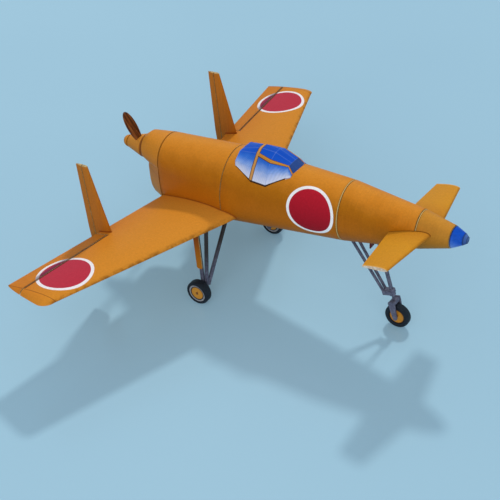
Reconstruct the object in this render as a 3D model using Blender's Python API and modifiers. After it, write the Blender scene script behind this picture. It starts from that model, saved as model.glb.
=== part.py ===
# Card model of a canard pusher aeroplane: twin fins on a swept wing, small forward planes,
# a two-blade pusher propeller and tricycle undercarriage.
# Metres, +Z up, +X towards the nose, +Y to port. The aeroplane is drawn in its own level frame,
# with the thrust line on X, and is then set nose-up on its wheels. A longer one grows at the nose:
# the forward planes and the nose wheel keep their distance from the tip of the nose.
import math

import bmesh
import bpy
import numpy as np
from mathutils import Matrix, Vector

mm = 0.001

# ---- Driving dimensions ----
overall_length = 132.2 * mm
tail_length = 66.1 * mm        # from X = 0 back to the spinner's tip
ride_height = 40.6 * mm        # thrust line above the ground at X = 0
stance = math.radians(1.85)    # nose-up attitude on its wheels

card = 0.45 * mm               # fuselage skin: two plies of printed card
seam_gap = 0.30 * mm           # open butt joint between fuselage sections
clearance = 0.30 * mm          # gap left at a glued joint
running = 0.10 * mm            # radial gap of a pin that turns
hinge_gap = 0.32 * mm          # scored hinge line of a control surface
cut_overrun = 2.0 * mm         # how far a cutting solid runs on past what it cuts
ring_points = 32
upper_power = 2.05             # roundness of the fuselage's upper half

nose_x = overall_length - tail_length
tail_x = -tail_length

# Fuselage stations: x, half width, top, widest height, bottom, squareness of the lower half
stations = {
    "tail": dict(x=tail_x + 10.5 * mm, half=4.4 * mm,
                 top=4.8 * mm, mid=0.1 * mm, bottom=-4.2 * mm, power=2.0),
    "cowl": dict(x=tail_x + 21.1 * mm, half=8.4 * mm,
                 top=7.5 * mm, mid=-1.1 * mm, bottom=-16.4 * mm, power=4.5),
    "wing": dict(x=tail_x + 49.1 * mm, half=11.75 * mm,
                 top=9.6 * mm, mid=-5.6 * mm, bottom=-15.6 * mm, power=2.7),
    "front": dict(x=25.9 * mm, half=8.9 * mm,
                  top=8.5 * mm, mid=-1.9 * mm, bottom=-12.2 * mm, power=2.0),
    "canard": dict(x=nose_x - 15.2 * mm, half=5.6 * mm,
                   top=5.75 * mm, mid=-0.9 * mm, bottom=-7.45 * mm, power=2.0),
    "glass": dict(x=nose_x - 4.7 * mm, half=3.6 * mm,
                  top=3.25 * mm, mid=-0.1 * mm, bottom=-4.0 * mm, power=2.0),
    "facet": dict(x=nose_x - 1.1 * mm, half=1.9 * mm,
                  top=1.9 * mm, mid=0.0, bottom=-1.9 * mm, power=2.0),
    "tip": dict(x=nose_x, half=1.1 * mm,
                top=1.1 * mm, mid=0.0, bottom=-1.1 * mm, power=2.0),
}
order = ["tail", "cowl", "wing", "front", "canard", "glass", "facet", "tip"]

# Tail cowl: the top line runs on level to a shoulder, then drops to the propeller's ring
cowl_shoulder = dict(x=tail_x + 13.4 * mm, half=5.4 * mm,
                     top=7.0 * mm, mid=-0.5 * mm, bottom=-5.2 * mm, power=2.0)
cone_bottom = -6.0 * mm
# Radiator keel under the cone
keel_wall = 0.6 * mm
keel_stations = [
    dict(x=stations["cowl"]["x"], half=8.4 * mm,
         top=3.0 * mm, mid=-4.0 * mm, bottom=-16.4 * mm, power=4.5),
    dict(x=tail_x + 14.7 * mm, half=4.7 * mm,
         top=1.0 * mm, mid=-5.0 * mm, bottom=-16.2 * mm, power=5.0),
    dict(x=tail_x + 13.2 * mm, half=3.8 * mm,
         top=-0.5 * mm, mid=-6.0 * mm, bottom=-15.2 * mm, power=5.0),
    dict(x=tail_x + 12.6 * mm, half=3.3 * mm,
         top=-1.5 * mm, mid=-6.5 * mm, bottom=-13.8 * mm, power=5.0),
]

# Main wing: leading edge, chord and thickness at the root rib and at the tip crease
wing_root = dict(y=6.0 * mm, x=tail_x + 56.25 * mm, z=-10.65 * mm, chord=34.0 * mm, rise=0.115)
wing_tip = dict(y=76.0 * mm, x=tail_x + 32.5 * mm, z=-9.5 * mm, chord=20.0 * mm, rise=0.085)
wing_incidence = math.radians(3.4)
wing_edge = 0.40 * mm          # thickness of the trailing edge
wing_tip_bulge = 3.5 * mm      # how far the rounded tip stands beyond the crease
wing_tip_lift = 0.15 * mm      # the tip's edge above the lower skin
wing_tip_power = 2.4           # fullness of the rounded tip in plan
airfoil_points = 9
lower_share = 0.22             # part of the thickness that lies under the chord line
wing_skin = 0.35 * mm          # card skin around the hollow wing
wing_hollow_front = 0.10       # the hollow's share of the chord, from the leading edge
wing_hollow_rear = (0.80, 0.62)  # at the root, and at its outer end ahead of the elevon
wing_hollow_end = 70.0 * mm
wing_hollow_points = 5
spar_x = tail_x + 38.6 * mm
spar_z = -10.1 * mm
spar_chord = 7.0 * mm
spar_thickness = 0.8 * mm
spar_half_span = 32.0 * mm

# Elevons outboard of the fins
elevon_inner_y = 39.6 * mm
elevon_hinge = ((tail_x + 22.2 * mm, 40.8 * mm), (tail_x + 19.1 * mm, 76.2 * mm))
elevon_reach = 12.0 * mm       # half height of the prism that parts the elevon from the wing

# Fins over the wing's trailing edge, each with its rudder
fin_y = 37.4 * mm
fin_top_z = 13.0 * mm
fin_top_lead = tail_x + 16.5 * mm
fin_top_trail = tail_x + 11.8 * mm
fin_foot_lead = tail_x + 22.5 * mm
fin_foot_z = -10.1 * mm
fin_kink = (tail_x + 12.8 * mm, -11.2 * mm)
fin_keel_trail = (tail_x + 14.5 * mm, -28.4 * mm)
fin_keel_front = (tail_x + 20.5 * mm, -28.6 * mm)
fin_keel_lead = (tail_x + 22.4 * mm, -22.0 * mm)
fin_keel_root = (tail_x + 23.5 * mm, -12.0 * mm)
fin_half_thickness = 0.55 * mm
fin_edge = 0.17 * mm
fin_shoulder = 0.35            # where the full thickness starts, from the leading edge to the hinge
fin_round = (35, 60, 80, 90)   # degrees round the keel's lower front corner
rudder_hinge = ((tail_x + 14.4 * mm, 13.0 * mm), (tail_x + 16.8 * mm, -28.6 * mm))

# Forward planes
canard_root = dict(y=3.1 * mm, x=nose_x - 9.9 * mm, z=0.9 * mm, chord=13.4 * mm, rise=0.13)
canard_tip = dict(y=25.7 * mm, x=nose_x - 14.0 * mm, z=-0.05 * mm, chord=8.2 * mm, rise=0.12)
canard_incidence = math.radians(6.0)
canard_tab_x = nose_x - 17.1 * mm
canard_tab_chord = 4.0 * mm
canard_tab_thickness = 0.5 * mm
canard_tab_half = 12.0 * mm
canard_tab_z = 0.25 * mm

# Propeller group
spinner_x = tail_x + 10.1 * mm
spinner_seam_x = tail_x + 2.7 * mm
spinner_radius = 4.2 * mm
spinner_cap_radius = 2.25 * mm
spinner_lip = 0.8 * mm         # straight rim ahead of the cone
spinner_floor = 1.2 * mm       # thickness of the disc that the shaft goes through
spinner_wall = 0.7 * mm        # at the thick end of the hollow
spinner_spigot = 1.5 * mm      # how far the cap reaches into the cone
dome_angles = (25, 45, 65, 80)
blade_tip_radius = 17.6 * mm
blade_root_x = tail_x + 7.9 * mm
blade_width = 3.7 * mm
blade_root_width = 2.7 * mm
blade_thickness = 0.5 * mm
blade_peak = 0.45              # where the full width is reached, from root to tip
blade_round = 2.2              # fullness of the rounded tip
blade_steps = 9
blade_lean = math.radians(-24)  # how far the upper blade is turned from vertical, to starboard
blade_pitch = math.radians(-24)
shaft_radius = 0.5 * mm
bush_radius = 1.3 * mm
bush_length = 4.0 * mm
bush_inset = 0.1 * mm
shaft_collar_radius = 1.7 * mm
shaft_collar_length = 0.8 * mm

# Undercarriage
main_wheel = dict(radius=4.35 * mm, width=3.4 * mm, disc=3.0 * mm, x=tail_x + 46.2 * mm, y=23.9 * mm)
nose_wheel = dict(radius=4.35 * mm, width=2.6 * mm, disc=2.5 * mm, x=nose_x - 22.3 * mm, y=0.0)
wheel_facets = 32
tread_round = 0.28             # share of the width that rounds the tread's edge
tread_angles = (90, 60, 30, 0)
bead = 0.3 * mm
bead_step = 0.25 * mm
disc_fit = 0.02 * mm           # the tyre's hole is this much wider than the disc
disc_inset = 0.35 * mm
rim_width = 0.5 * mm
rim_step = 0.15 * mm
rim_slope = 0.1 * mm
axle_radius = 0.40 * mm
leg_radius = 0.62 * mm
leg_y = 21.1 * mm
leg_top_x = tail_x + 45.5 * mm
leg_end = 0.9 * mm             # how far the leg runs on below the axle
axle_recess = 0.2 * mm         # the axle's end inside the wheel's outer face
strut_top_x = tail_x + 49.5 * mm
strut_radius = 0.58 * mm
strut_foot_offset = (1.5 * mm, 1.6 * mm)  # ahead of the axle and above it
stay_radius = 0.60 * mm
stay_top = (tail_x + 48.9 * mm, 7.6 * mm, -11.8 * mm)
stay_foot_offset = (2.4 * mm, -1.3 * mm, 1.9 * mm)
door_top_gap = 1.2 * mm
door_length = 14.5 * mm
door_width = 1.9 * mm
door_thickness = 0.4 * mm
door_seat = 0.25 * mm          # from the leg's axis out to the door's inner face
nose_leg_x = nose_x - 29.9 * mm
nose_leg_sink = 0.34 * mm      # how far its top would reach above the fuselage's lowest line
nose_leg_radius = 0.62 * mm
nose_slide_radius = 0.45 * mm
collar_height = 1.5 * mm
collar_aft = 3.1 * mm          # from the leg's axis back to where the braces end
collar_ahead = 0.6 * mm
collar_width = 2.8 * mm
boss_radius = 1.15 * mm
boss_height = 2.3 * mm
collar_rise = 9.2 * mm         # from the nose axle up the leg's own axis
fork_plate = 0.55 * mm
fork_width = 2.1 * mm
fork_end_width = 1.5 * mm
fork_gap = 0.45 * mm           # between a fork plate and the tyre
fork_bridge = 1.3 * mm
fork_crown_gap = 0.5 * mm      # between the tyre and the bridge
fork_shoulder = 0.1 * mm       # the plates stand this much proud of the bridge
fork_sink = 0.05 * mm
brace_foot_x = stations["front"]["x"] + 0.7 * mm
brace_sink = 1.2 * mm
brace_end_offset = (-0.30 * mm, 0.2 * mm)
brace_radius = 0.5 * mm
brace_spread_top = 2.0 * mm
brace_spread_low = 1.05 * mm
nose_door_back = 2.4 * mm      # behind the top of the nose leg
nose_door_size = (0.4 * mm, 2.6 * mm, 3.6 * mm)
nose_door_drop = 0.8 * mm      # its middle below the fuselage's lowest line

# Formers behind the fuselage's seams
former_thickness = 1.0 * mm

# Canopy: cross-sections from the rear, from below the sill up to the crown, as shares of the half
# width and of the height. Between sill and shoulder the card is nearly flat, so each panel is a facet.
canopy_half = 9.4 * mm
canopy_height = 13.35 * mm     # the crown above the thrust line
canopy_sections = [
    (-13.4 * mm,
     [(0.713, 0.404), (0.686, 0.554), (0.660, 0.682), (0.340, 0.839), (0.160, 0.843), (0.0, 0.846)]),
    (-6.3 * mm,
     [(1.0, 0.240), (0.931, 0.348), (0.681, 0.614), (0.340, 0.906), (0.149, 0.996), (0.0, 1.0)]),
    (-0.6 * mm,
     [(1.0, 0.217), (0.931, 0.326), (0.739, 0.599), (0.500, 0.861), (0.138, 0.974), (0.0, 0.981)]),
    (5.3 * mm,
     [(0.681, 0.434), (0.628, 0.543), (0.500, 0.674), (0.340, 0.783), (0.128, 0.790), (0.0, 0.790)]),
    (6.9 * mm,
     [(0.564, 0.472), (0.532, 0.569), (0.489, 0.599), (0.431, 0.618), (0.160, 0.618), (0.0, 0.618)]),
]
canopy_wall = 0.4 * mm

paints = {
    "orange": ((0.66, 0.29, 0.05, 1), 0.55, 0.0),
    "glazing": ((0.02, 0.10, 0.55, 1), 0.35, 0.0),
    "bare_card": ((0.78, 0.74, 0.66, 1), 0.80, 0.0),
    "wood_print": ((0.10, 0.03, 0.01, 1), 0.60, 0.0),
    "gear_grey": ((0.11, 0.11, 0.15, 1), 0.60, 0.0),
    "tyre": ((0.008, 0.010, 0.014, 1), 0.75, 0.0),
    "hub": ((0.55, 0.24, 0.03, 1), 0.60, 0.0),
    "wire": ((0.45, 0.45, 0.47, 1), 0.30, 1.0),
    "dark_red": ((0.18, 0.015, 0.015, 1), 0.60, 0.0),
}


# ---- Scene helpers ----
def clear_scene():
    for obj in list(bpy.data.objects):
        bpy.data.objects.remove(obj, do_unlink=True)
    for group in list(bpy.data.collections):
        bpy.data.collections.remove(group)


def make_collection(name):
    group = bpy.data.collections.new(name)
    bpy.context.scene.collection.children.link(group)
    return group


def paint(name):
    material = bpy.data.materials.get(name)
    if material is None:
        colour, roughness, metallic = paints[name]
        material = bpy.data.materials.new(name)
        material.use_nodes = True
        shader = material.node_tree.nodes["Principled BSDF"]
        shader.inputs["Base Color"].default_value = colour
        shader.inputs["Roughness"].default_value = roughness
        shader.inputs["Metallic"].default_value = metallic
    return material


def add_part(name, mesh, finish, parent=None, smooth_angle=None):
    obj = bpy.data.objects.new(name, mesh)
    parts.objects.link(obj)
    mesh.materials.clear()
    mesh.materials.append(paint(finish))
    obj.parent = parent or airframe
    if smooth_angle is not None:
        mesh.shade_smooth()
        mesh.set_sharp_from_angle(angle=math.radians(smooth_angle))
    return obj


def add_cutter(name, mesh):
    obj = bpy.data.objects.new(name, mesh)
    cutters.objects.link(obj)
    obj.parent = airframe
    obj.hide_render = True
    obj.display_type = "WIRE"
    return obj


def add_pivot(name, location, parent=None, rotation=(0, 0, 0)):
    empty = bpy.data.objects.new(name, None)
    empty.empty_display_size = 3 * mm
    parts.objects.link(empty)
    empty.parent = parent or airframe
    empty.location = location
    empty.rotation_euler = rotation
    return empty


def boolean(obj, cutter, operation="DIFFERENCE"):
    step = obj.modifiers.new(cutter.name, "BOOLEAN")
    step.object = cutter
    step.operation = operation
    step.solver = "EXACT"
    return step


def mesh_of(name, points, faces):
    mesh = bpy.data.meshes.new(name)
    mesh.from_pydata([tuple(p) for p in points], [], faces)
    mesh.update()
    return mesh


def outward(mesh):
    work = bmesh.new()
    work.from_mesh(mesh)
    bmesh.ops.recalc_face_normals(work, faces=work.faces)
    work.to_mesh(mesh)
    work.free()
    return mesh


def loft(name, rings, closed_ends=True):
    # Skin through rings that have the same number of points
    count = len(rings[0])
    points = [p for ring in rings for p in ring]
    faces = []
    for level in range(len(rings) - 1):
        low = level * count
        for i in range(count):
            j = (i + 1) % count
            faces.append((low + i, low + j, low + count + j, low + count + i))
    if closed_ends:
        faces.append(tuple(range(count - 1, -1, -1)))
        faces.append(tuple(range(len(points) - count, len(points))))
    return outward(mesh_of(name, points, faces))


def turned(name, profile, finish, parent, steps=32):
    # A profile of (radius, height) pairs in the XZ plane, spun about Z; a closed loop
    mesh = bpy.data.meshes.new(name)
    work = bmesh.new()
    corners = [work.verts.new((r, 0, z)) for r, z in profile]
    for first, second in zip(corners, corners[1:] + corners[:1]):
        if first.co.x > 1e-7 or second.co.x > 1e-7:
            work.edges.new((first, second))
    work.to_mesh(mesh)
    work.free()
    obj = add_part(name, mesh, finish, parent)
    screw = obj.modifiers.new("turn", "SCREW")
    screw.steps = steps
    screw.render_steps = steps
    screw.use_merge_vertices = True
    screw.merge_threshold = 0.00001
    screw.use_smooth_shade = False
    return obj


def bar_mesh(name, radius, length, sides, centre=0.0):
    # A round bar along Z
    work = bmesh.new()
    bmesh.ops.create_cone(
        work, cap_ends=True, segments=sides, radius1=radius, radius2=radius, depth=length)
    bmesh.ops.translate(work, vec=(0, 0, centre), verts=work.verts)
    mesh = bpy.data.meshes.new(name)
    work.to_mesh(mesh)
    work.free()
    return mesh


def rod(name, start, end, radius, finish, sides=12):
    # A round stick between two points
    start, end = Vector(start), Vector(end)
    mesh = bar_mesh(name, radius, (end - start).length, sides)
    obj = add_part(name, mesh, finish, smooth_angle=40)
    obj.location = (start + end) / 2
    obj.rotation_mode = "QUATERNION"
    obj.rotation_quaternion = (end - start).to_track_quat("Z", "Y")
    return obj


def box_mesh(name, centre, size, grow=0.0):
    # A box about its centre, enlarged by grow on every side
    work = bmesh.new()
    bmesh.ops.create_cube(work, size=1.0)
    full = Vector(size) + 2 * Vector((grow, grow, grow))
    bmesh.ops.scale(work, vec=full, verts=work.verts)
    bmesh.ops.translate(work, vec=Vector(centre), verts=work.verts)
    mesh = bpy.data.meshes.new(name)
    work.to_mesh(mesh)
    work.free()
    return mesh


# ---- Fuselage ----
def outline(section, grow=0.0):
    # Ring of (y, z): a half ellipse above the widest height, a squarer one below it
    angles = np.arange(ring_points) * 2 * math.pi / ring_points
    across, up = np.cos(angles), np.sin(angles)
    upper = up >= -1e-9
    power = np.where(upper, upper_power, section["power"])
    above = section["top"] - section["mid"] + grow
    below = section["mid"] - section["bottom"] + grow
    height = np.where(upper, above, below)
    y = (section["half"] + grow) * np.sign(across) * np.abs(across) ** (2 / power)
    z = section["mid"] + height * np.sign(up) * np.abs(up) ** (2 / power)
    return np.stack([y, z], axis=1)


def section_at(x):
    # The fuselage section at any x, between its two neighbouring stations
    names = [n for n in order if n != "tip"]
    for rear, ahead in zip(names, names[1:]):
        low, high = stations[rear], stations[ahead]
        if x <= high["x"] or ahead == names[-1]:
            share = (x - low["x"]) / (high["x"] - low["x"])
            return {key: low[key] + share * (high[key] - low[key]) for key in low}
    return stations[names[-1]]


def ring_at(x, grow=0.0, section=None):
    section = section or section_at(x)
    return [(x, y, z) for y, z in outline(section, grow)]


def fuselage_shell(name, rear, ahead, finish="orange"):
    # One card section: an open skin between two seams, with Solidify inwards
    start = stations[rear]["x"] + seam_gap / 2
    end = stations[ahead]["x"] - seam_gap / 2
    mesh = loft(name, [ring_at(start), ring_at(end)], closed_ends=False)
    obj = add_part(name, mesh, finish, smooth_angle=40)
    skin = obj.modifiers.new("card", "SOLIDIFY")
    skin.thickness = card
    skin.offset = -1
    skin.use_even_offset = True
    return obj


def nose_glazing():
    # Blue cone with a small flat facet in front; hollow, open to the rear
    start = stations["glass"]["x"] + seam_gap / 2
    rings = [ring_at(start), ring_at(stations["facet"]["x"]), ring_at(nose_x, section=stations["tip"])]
    inner_end = stations["facet"]["x"] - card
    inner = [ring_at(inner_end, -card), ring_at(start, -card)]
    count = ring_points
    points = [p for ring in rings + inner for p in ring]
    faces = []
    for level in range(4):
        low = level * count
        if level == 2:
            continue
        for i in range(count):
            j = (i + 1) % count
            faces.append((low + i, low + j, low + count + j, low + count + i))
    faces.append(tuple(range(2 * count, 3 * count)))
    faces.append(tuple(range(3 * count, 4 * count)))
    for i in range(count):
        j = (i + 1) % count
        faces.append((i, j, 4 * count + j, 4 * count + i))
    add_part("nose_glazing", outward(mesh_of("nose_glazing", points, faces)), "glazing", smooth_angle=30)


def former(name, x):
    # A card disc that backs a seam, just inside the skin
    half = former_thickness / 2
    grow = -(card + clearance)
    rings = [ring_at(x - half, grow), ring_at(x + half, grow)]
    add_part(name, loft(name, rings), "bare_card")


def axial_cutter(name, radius, start, end, sides=24):
    mesh = bar_mesh(name, radius, end - start, sides)
    mesh.transform(Matrix.Rotation(math.pi / 2, 4, "Y"))
    mesh.transform(Matrix.Translation(((start + end) / 2, 0, 0)))
    return add_cutter(name, mesh)


def upright_cutter(name, radius, height, parent, sides=20):
    obj = add_cutter(name, bar_mesh(name, radius, height, sides))
    obj.parent = parent
    return obj


def tail_cowl():
    # The cone that narrows to the propeller and the keel under it, joined and hollowed from the front
    seam = stations["cowl"]["x"] - seam_gap / 2

    def solids(tag, grow, front, back_shift):
        cone_front = dict(stations["cowl"], bottom=cone_bottom, power=2.0)
        cone = [
            ring_at(stations["tail"]["x"] + back_shift, grow, stations["tail"]),
            ring_at(cowl_shoulder["x"] + back_shift / 2, grow, cowl_shoulder),
            ring_at(seam, grow, cone_front),
        ]
        keel = [ring_at(s["x"] + back_shift, grow, s) for s in reversed(keel_stations[1:])]
        keel.append(ring_at(seam, grow, keel_stations[0]))
        if front > seam:
            cone.append(ring_at(front, grow, cone_front))
            keel.append(ring_at(front, grow, keel_stations[0]))
        return loft("cone_" + tag, cone), loft("keel_" + tag, keel)

    outer_cone, outer_keel = solids("outer", 0.0, seam, 0.0)
    inner_cone, inner_keel = solids("inner", -keel_wall, seam + cut_overrun, keel_wall)
    cowl = add_part("tail_cowl", outer_cone, "orange")
    boolean(cowl, add_cutter("keel_solid", outer_keel), "UNION")
    boolean(cowl, add_cutter("cone_hollow", inner_cone))
    boolean(cowl, add_cutter("keel_hollow", inner_keel))
    bore_end = stations["tail"]["x"] + cut_overrun
    boolean(cowl, axial_cutter("cowl_bore", bush_radius + clearance, tail_x, bore_end))
    return cowl


# ---- Wing, forward planes and control surfaces ----
def chord_shares():
    return 0.5 * (1 - np.cos(np.linspace(0, math.pi, airfoil_points)))


def airfoil(chord, rise, edge):
    # Thickness law of a four-digit section; most of it lies above the chord line
    s = chord_shares()
    law = 0.2969 * np.sqrt(s) - 0.1260 * s - 0.3516 * s**2 + 0.2843 * s**3 - 0.1036 * s**4
    half = 5 * rise * law
    upper = 2 * (1 - lower_share) * half * chord + edge / 2 * s
    lower = -2 * lower_share * half * chord - edge / 2 * s
    return s, upper, lower


def rib(station, incidence, side, edge, grow=0.0):
    # Closed ring of points: along the upper side to the trailing edge and back below
    s, upper, lower = airfoil(station["chord"], station["rise"], edge)
    chord = station["chord"]

    def place(share, height):
        along = share * chord
        x = station["x"] - along * math.cos(incidence) - height * math.sin(incidence)
        z = station["z"] - along * math.sin(incidence) + height * math.cos(incidence)
        return (x, side * station["y"], z)

    top = [place(a, h + grow) for a, h in zip(s, upper)]
    low = [place(a, h - grow) for a, h in zip(s[::-1], lower[::-1])]
    if grow == 0.0:
        low = low[:-1]
    return top + low


def wing_solid(name, side, grow=0.0):
    # Root rib to the tip crease, then the tip cap that slopes out to the rounded lower edge
    root = rib(wing_root, wing_incidence, side, wing_edge, grow)
    tip = rib(wing_tip, wing_incidence, side, wing_edge, grow)
    count = len(root)
    spread = np.abs(2 * chord_shares() - 1)
    bulge = wing_tip_bulge * np.sqrt(np.clip(1 - spread**wing_tip_power, 0, 1))
    arc = []
    for i in range(1, airfoil_points - 1):
        x, y, z = tip[i]
        low = tip[count - i] if grow == 0.0 else tip[count - 1 - i]
        arc.append((x, y + side * bulge[i], low[2] + wing_tip_lift))
    points = root + tip + arc
    faces = [tuple(range(count))]
    for i in range(count):
        j = (i + 1) % count
        faces.append((i, j, count + j, count + i))
    first = 2 * count

    def top_at(i):
        return count + i

    def low_at(i):
        return count + ((count - i) % count if grow == 0.0 else count - 1 - i)

    def arc_at(i):
        return first + i - 1

    last = airfoil_points - 1
    faces.append((top_at(0), top_at(1), arc_at(1)))
    faces.append((low_at(0), arc_at(1), low_at(1)))
    if grow != 0.0:
        faces.append((top_at(0), arc_at(1), low_at(0)))
    for i in range(1, last - 1):
        faces.append((top_at(i), top_at(i + 1), arc_at(i + 1), arc_at(i)))
        faces.append((low_at(i), arc_at(i), arc_at(i + 1), low_at(i + 1)))
    faces.append((top_at(last - 1), top_at(last), arc_at(last - 1)))
    faces.append((low_at(last - 1), arc_at(last - 1), low_at(last)))
    faces.append((top_at(last), low_at(last), arc_at(last - 1)))
    return outward(mesh_of(name, points, faces))


def wing_station(y):
    # Leading edge, chord and thickness of the wing at one place along the span
    share = (y - wing_root["y"]) / (wing_tip["y"] - wing_root["y"])
    return {key: wing_root[key] + share * (wing_tip[key] - wing_root[key]) for key in wing_root}


def wing_core(name, side):
    # The hollow between the skins, open at the root where the wing meets the fuselage
    rings = []
    for y, rear in zip((wing_root["y"] - wing_edge, wing_hollow_end), wing_hollow_rear):
        station = wing_station(y)
        s, upper, lower = airfoil(station["chord"], station["rise"], wing_edge)
        core_share = np.linspace(wing_hollow_front, rear, wing_hollow_points)
        high = np.interp(core_share, s, upper) - wing_skin
        low = np.interp(core_share, s, lower) + wing_skin
        ring = []
        around = list(zip(core_share, high)) + list(zip(core_share[::-1], low[::-1]))
        for along, height in around:
            back = along * station["chord"]
            x = station["x"] - back * math.cos(wing_incidence) - height * math.sin(wing_incidence)
            z = station["z"] - back * math.sin(wing_incidence) + height * math.cos(wing_incidence)
            ring.append((x, side * y, z))
        rings.append(ring)
    return add_cutter(name, loft(name, rings))


def hinge_x(y, offset=0.0):
    (x0, y0), (x1, y1) = elevon_hinge
    return x0 + (x1 - x0) * (y - y0) / (y1 - y0) + offset


def elevon_zone(name, side, gap):
    # Tall prism over the elevon: forward edge on the hinge line, inner edge beside the fin
    inner = elevon_inner_y - gap
    outer = wing_tip["y"] + 2 * wing_tip_bulge
    rear = wing_tip["x"] - 2 * wing_tip["chord"]
    plan = [(hinge_x(inner, gap), inner), (hinge_x(outer, gap), outer), (rear, outer), (rear, inner)]
    levels = (wing_root["z"] - elevon_reach, wing_root["z"] + elevon_reach)
    rings = [[(x, side * y, z) for x, y in plan] for z in levels]
    return add_cutter(name, loft(name, rings))


def wing(side, tag):
    name = "wing_" + tag
    obj = add_part(name, wing_solid(name, side), "orange")
    boolean(obj, fuselage_cutter)
    boolean(obj, elevon_zone("elevon_gap_" + tag, side, hinge_gap))
    boolean(obj, spar_pocket)
    boolean(obj, wing_core("wing_core_" + tag, side))
    return obj


def spar_mesh(name, grow=0.0):
    size = (spar_chord, 2 * spar_half_span, spar_thickness)
    return box_mesh(name, (spar_x, 0, spar_z), size, grow)


def tab_mesh(name, grow=0.0):
    size = (canard_tab_chord, 2 * canard_tab_half, canard_tab_thickness)
    return box_mesh(name, (canard_tab_x, 0, canard_tab_z), size, grow)


def chord_height(x, y):
    # Height of the wing's chord line above the frame at a plan position
    station = wing_station(abs(y))
    return station["z"] - (station["x"] - x) * math.tan(wing_incidence)


def underside(x, y):
    # Height of the wing's lower skin at a plan position
    station = wing_station(abs(y))
    s, _, lower = airfoil(station["chord"], station["rise"], wing_edge)
    drop = np.interp((station["x"] - x) / station["chord"], s, lower)
    return chord_height(x, y) + float(drop)


def elevon(side, tag):
    # The wing's own solid inside the hinge zone, hung on a pivot along the hinge line
    (x0, y0), (x1, y1) = elevon_hinge
    start = Vector((x0, side * y0, chord_height(x0, y0)))
    end = Vector((x1, side * y1, chord_height(x1, y1)))
    middle = (start + end) / 2
    pivot = add_pivot("elevon_pivot_" + tag, middle)
    name = "elevon_" + tag
    mesh = wing_solid(name, side)
    mesh.transform(Matrix.Translation(-middle))
    obj = add_part(name, mesh, "orange", pivot)
    boolean(obj, elevon_zone("elevon_zone_" + tag, side, 0.0), "INTERSECT")


def between(a, b, share):
    return a + (b - a) * share


def line_x(low, high, z):
    # X at height z on the line between two (x, z) points
    return between(low[0], high[0], (z - low[1]) / (high[1] - low[1]))


def fin_profile(z):
    # Leading edge, hinge line and trailing edge of a fin at one height
    if z >= fin_foot_z:
        lead = line_x((fin_foot_lead, fin_foot_z), (fin_top_lead, fin_top_z), z)
    elif z >= fin_keel_root[1]:
        lead = line_x(fin_keel_root, (fin_foot_lead, fin_foot_z), z)
    elif z >= fin_keel_lead[1]:
        lead = line_x(fin_keel_lead, fin_keel_root, z)
    else:
        share = (fin_keel_lead[1] - z) / (fin_keel_lead[1] - fin_keel_front[1])
        curve = 1 - math.sqrt(max(0.0, 1 - share * share))
        lead = between(fin_keel_lead[0], fin_keel_front[0], curve)
    if z >= fin_kink[1]:
        trail = line_x(fin_kink, (fin_top_trail, fin_top_z), z)
    else:
        trail = line_x(fin_keel_trail, fin_kink, z)
    upper, lower = rudder_hinge
    return lead, line_x(lower, upper, z), trail


def fin_levels():
    drop = fin_keel_lead[1] - fin_keel_front[1]
    rounded = [fin_keel_lead[1] - drop * math.sin(math.radians(a)) for a in fin_round]
    return [fin_top_z, fin_foot_z, fin_kink[1], fin_keel_root[1], fin_keel_lead[1]] + rounded


def fin_rings(side, rudder):
    # Lens-shaped sections: thickest near the hinge line, thin at both edges
    rings = []
    for z in fin_levels():
        lead, hinge, trail = fin_profile(z)
        thick, thin = fin_half_thickness, fin_edge
        full = between(lead, hinge, fin_shoulder)
        if rudder:
            front = hinge - hinge_gap
            plan = [(front, thick), (trail, thin), (trail, -thin), (front, -thick)]
        else:
            port = [(lead, thin), (full, thick), (hinge, thick)]
            plan = port + [(x, -y) for x, y in reversed(port)]
        rings.append([(x, side * fin_y + y, z) for x, y in plan])
    return rings


def fin(side, tag):
    name = "fin_" + tag
    obj = add_part(name, loft(name, fin_rings(side, False)), "orange")
    notch = add_cutter("fin_notch_" + tag, wing_solid("fin_notch_" + tag, side, clearance))
    boolean(obj, notch)
    return obj


def rudder(side, tag):
    (x1, z1), (x0, z0) = rudder_hinge
    middle = Vector(((x0 + x1) / 2, side * fin_y, (z0 + z1) / 2))
    pivot = add_pivot("rudder_pivot_" + tag, middle)
    mesh = loft("rudder_" + tag, fin_rings(side, True))
    mesh.transform(Matrix.Translation(-middle))
    add_part("rudder_" + tag, mesh, "orange", pivot)


def canard(side, tag):
    name = "canard_" + tag
    ends = (canard_root, canard_tip)
    rings = [rib(end, canard_incidence, side, wing_edge) for end in ends]
    obj = add_part(name, loft(name, rings), "orange")
    boolean(obj, tab_pocket)
    boolean(obj, fuselage_cutter)
    return obj


# ---- Canopy ----
def canopy_solid(name, inset):
    # Facets through the sections; with an inset, the hollow inside, which runs out below the sill
    rings = []
    shifts = [inset] + [0.0] * (len(canopy_sections) - 2) + [-2 * inset]
    for (x, shares), shift in zip(canopy_sections, shifts):
        x += shift
        side = [(y * canopy_half - inset, z * canopy_height - inset) for y, z in shares]
        side[-1] = (0.0, side[-1][1])
        if inset:
            side[0] = (side[0][0], side[0][1] - 2 * inset)
        port = [(x, y, z) for y, z in side]
        starboard = [(x, -y, z) for y, z in side[-2::-1]]
        rings.append(port + starboard)
    return loft(name, rings)


def canopy():
    # Faceted card shell, cut underneath to the fuselage it sits on
    obj = add_part("canopy", canopy_solid("canopy", 0.0), "glazing")
    boolean(obj, add_cutter("canopy_hollow", canopy_solid("canopy_hollow", canopy_wall)))
    boolean(obj, fuselage_cutter)
    return obj


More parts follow.
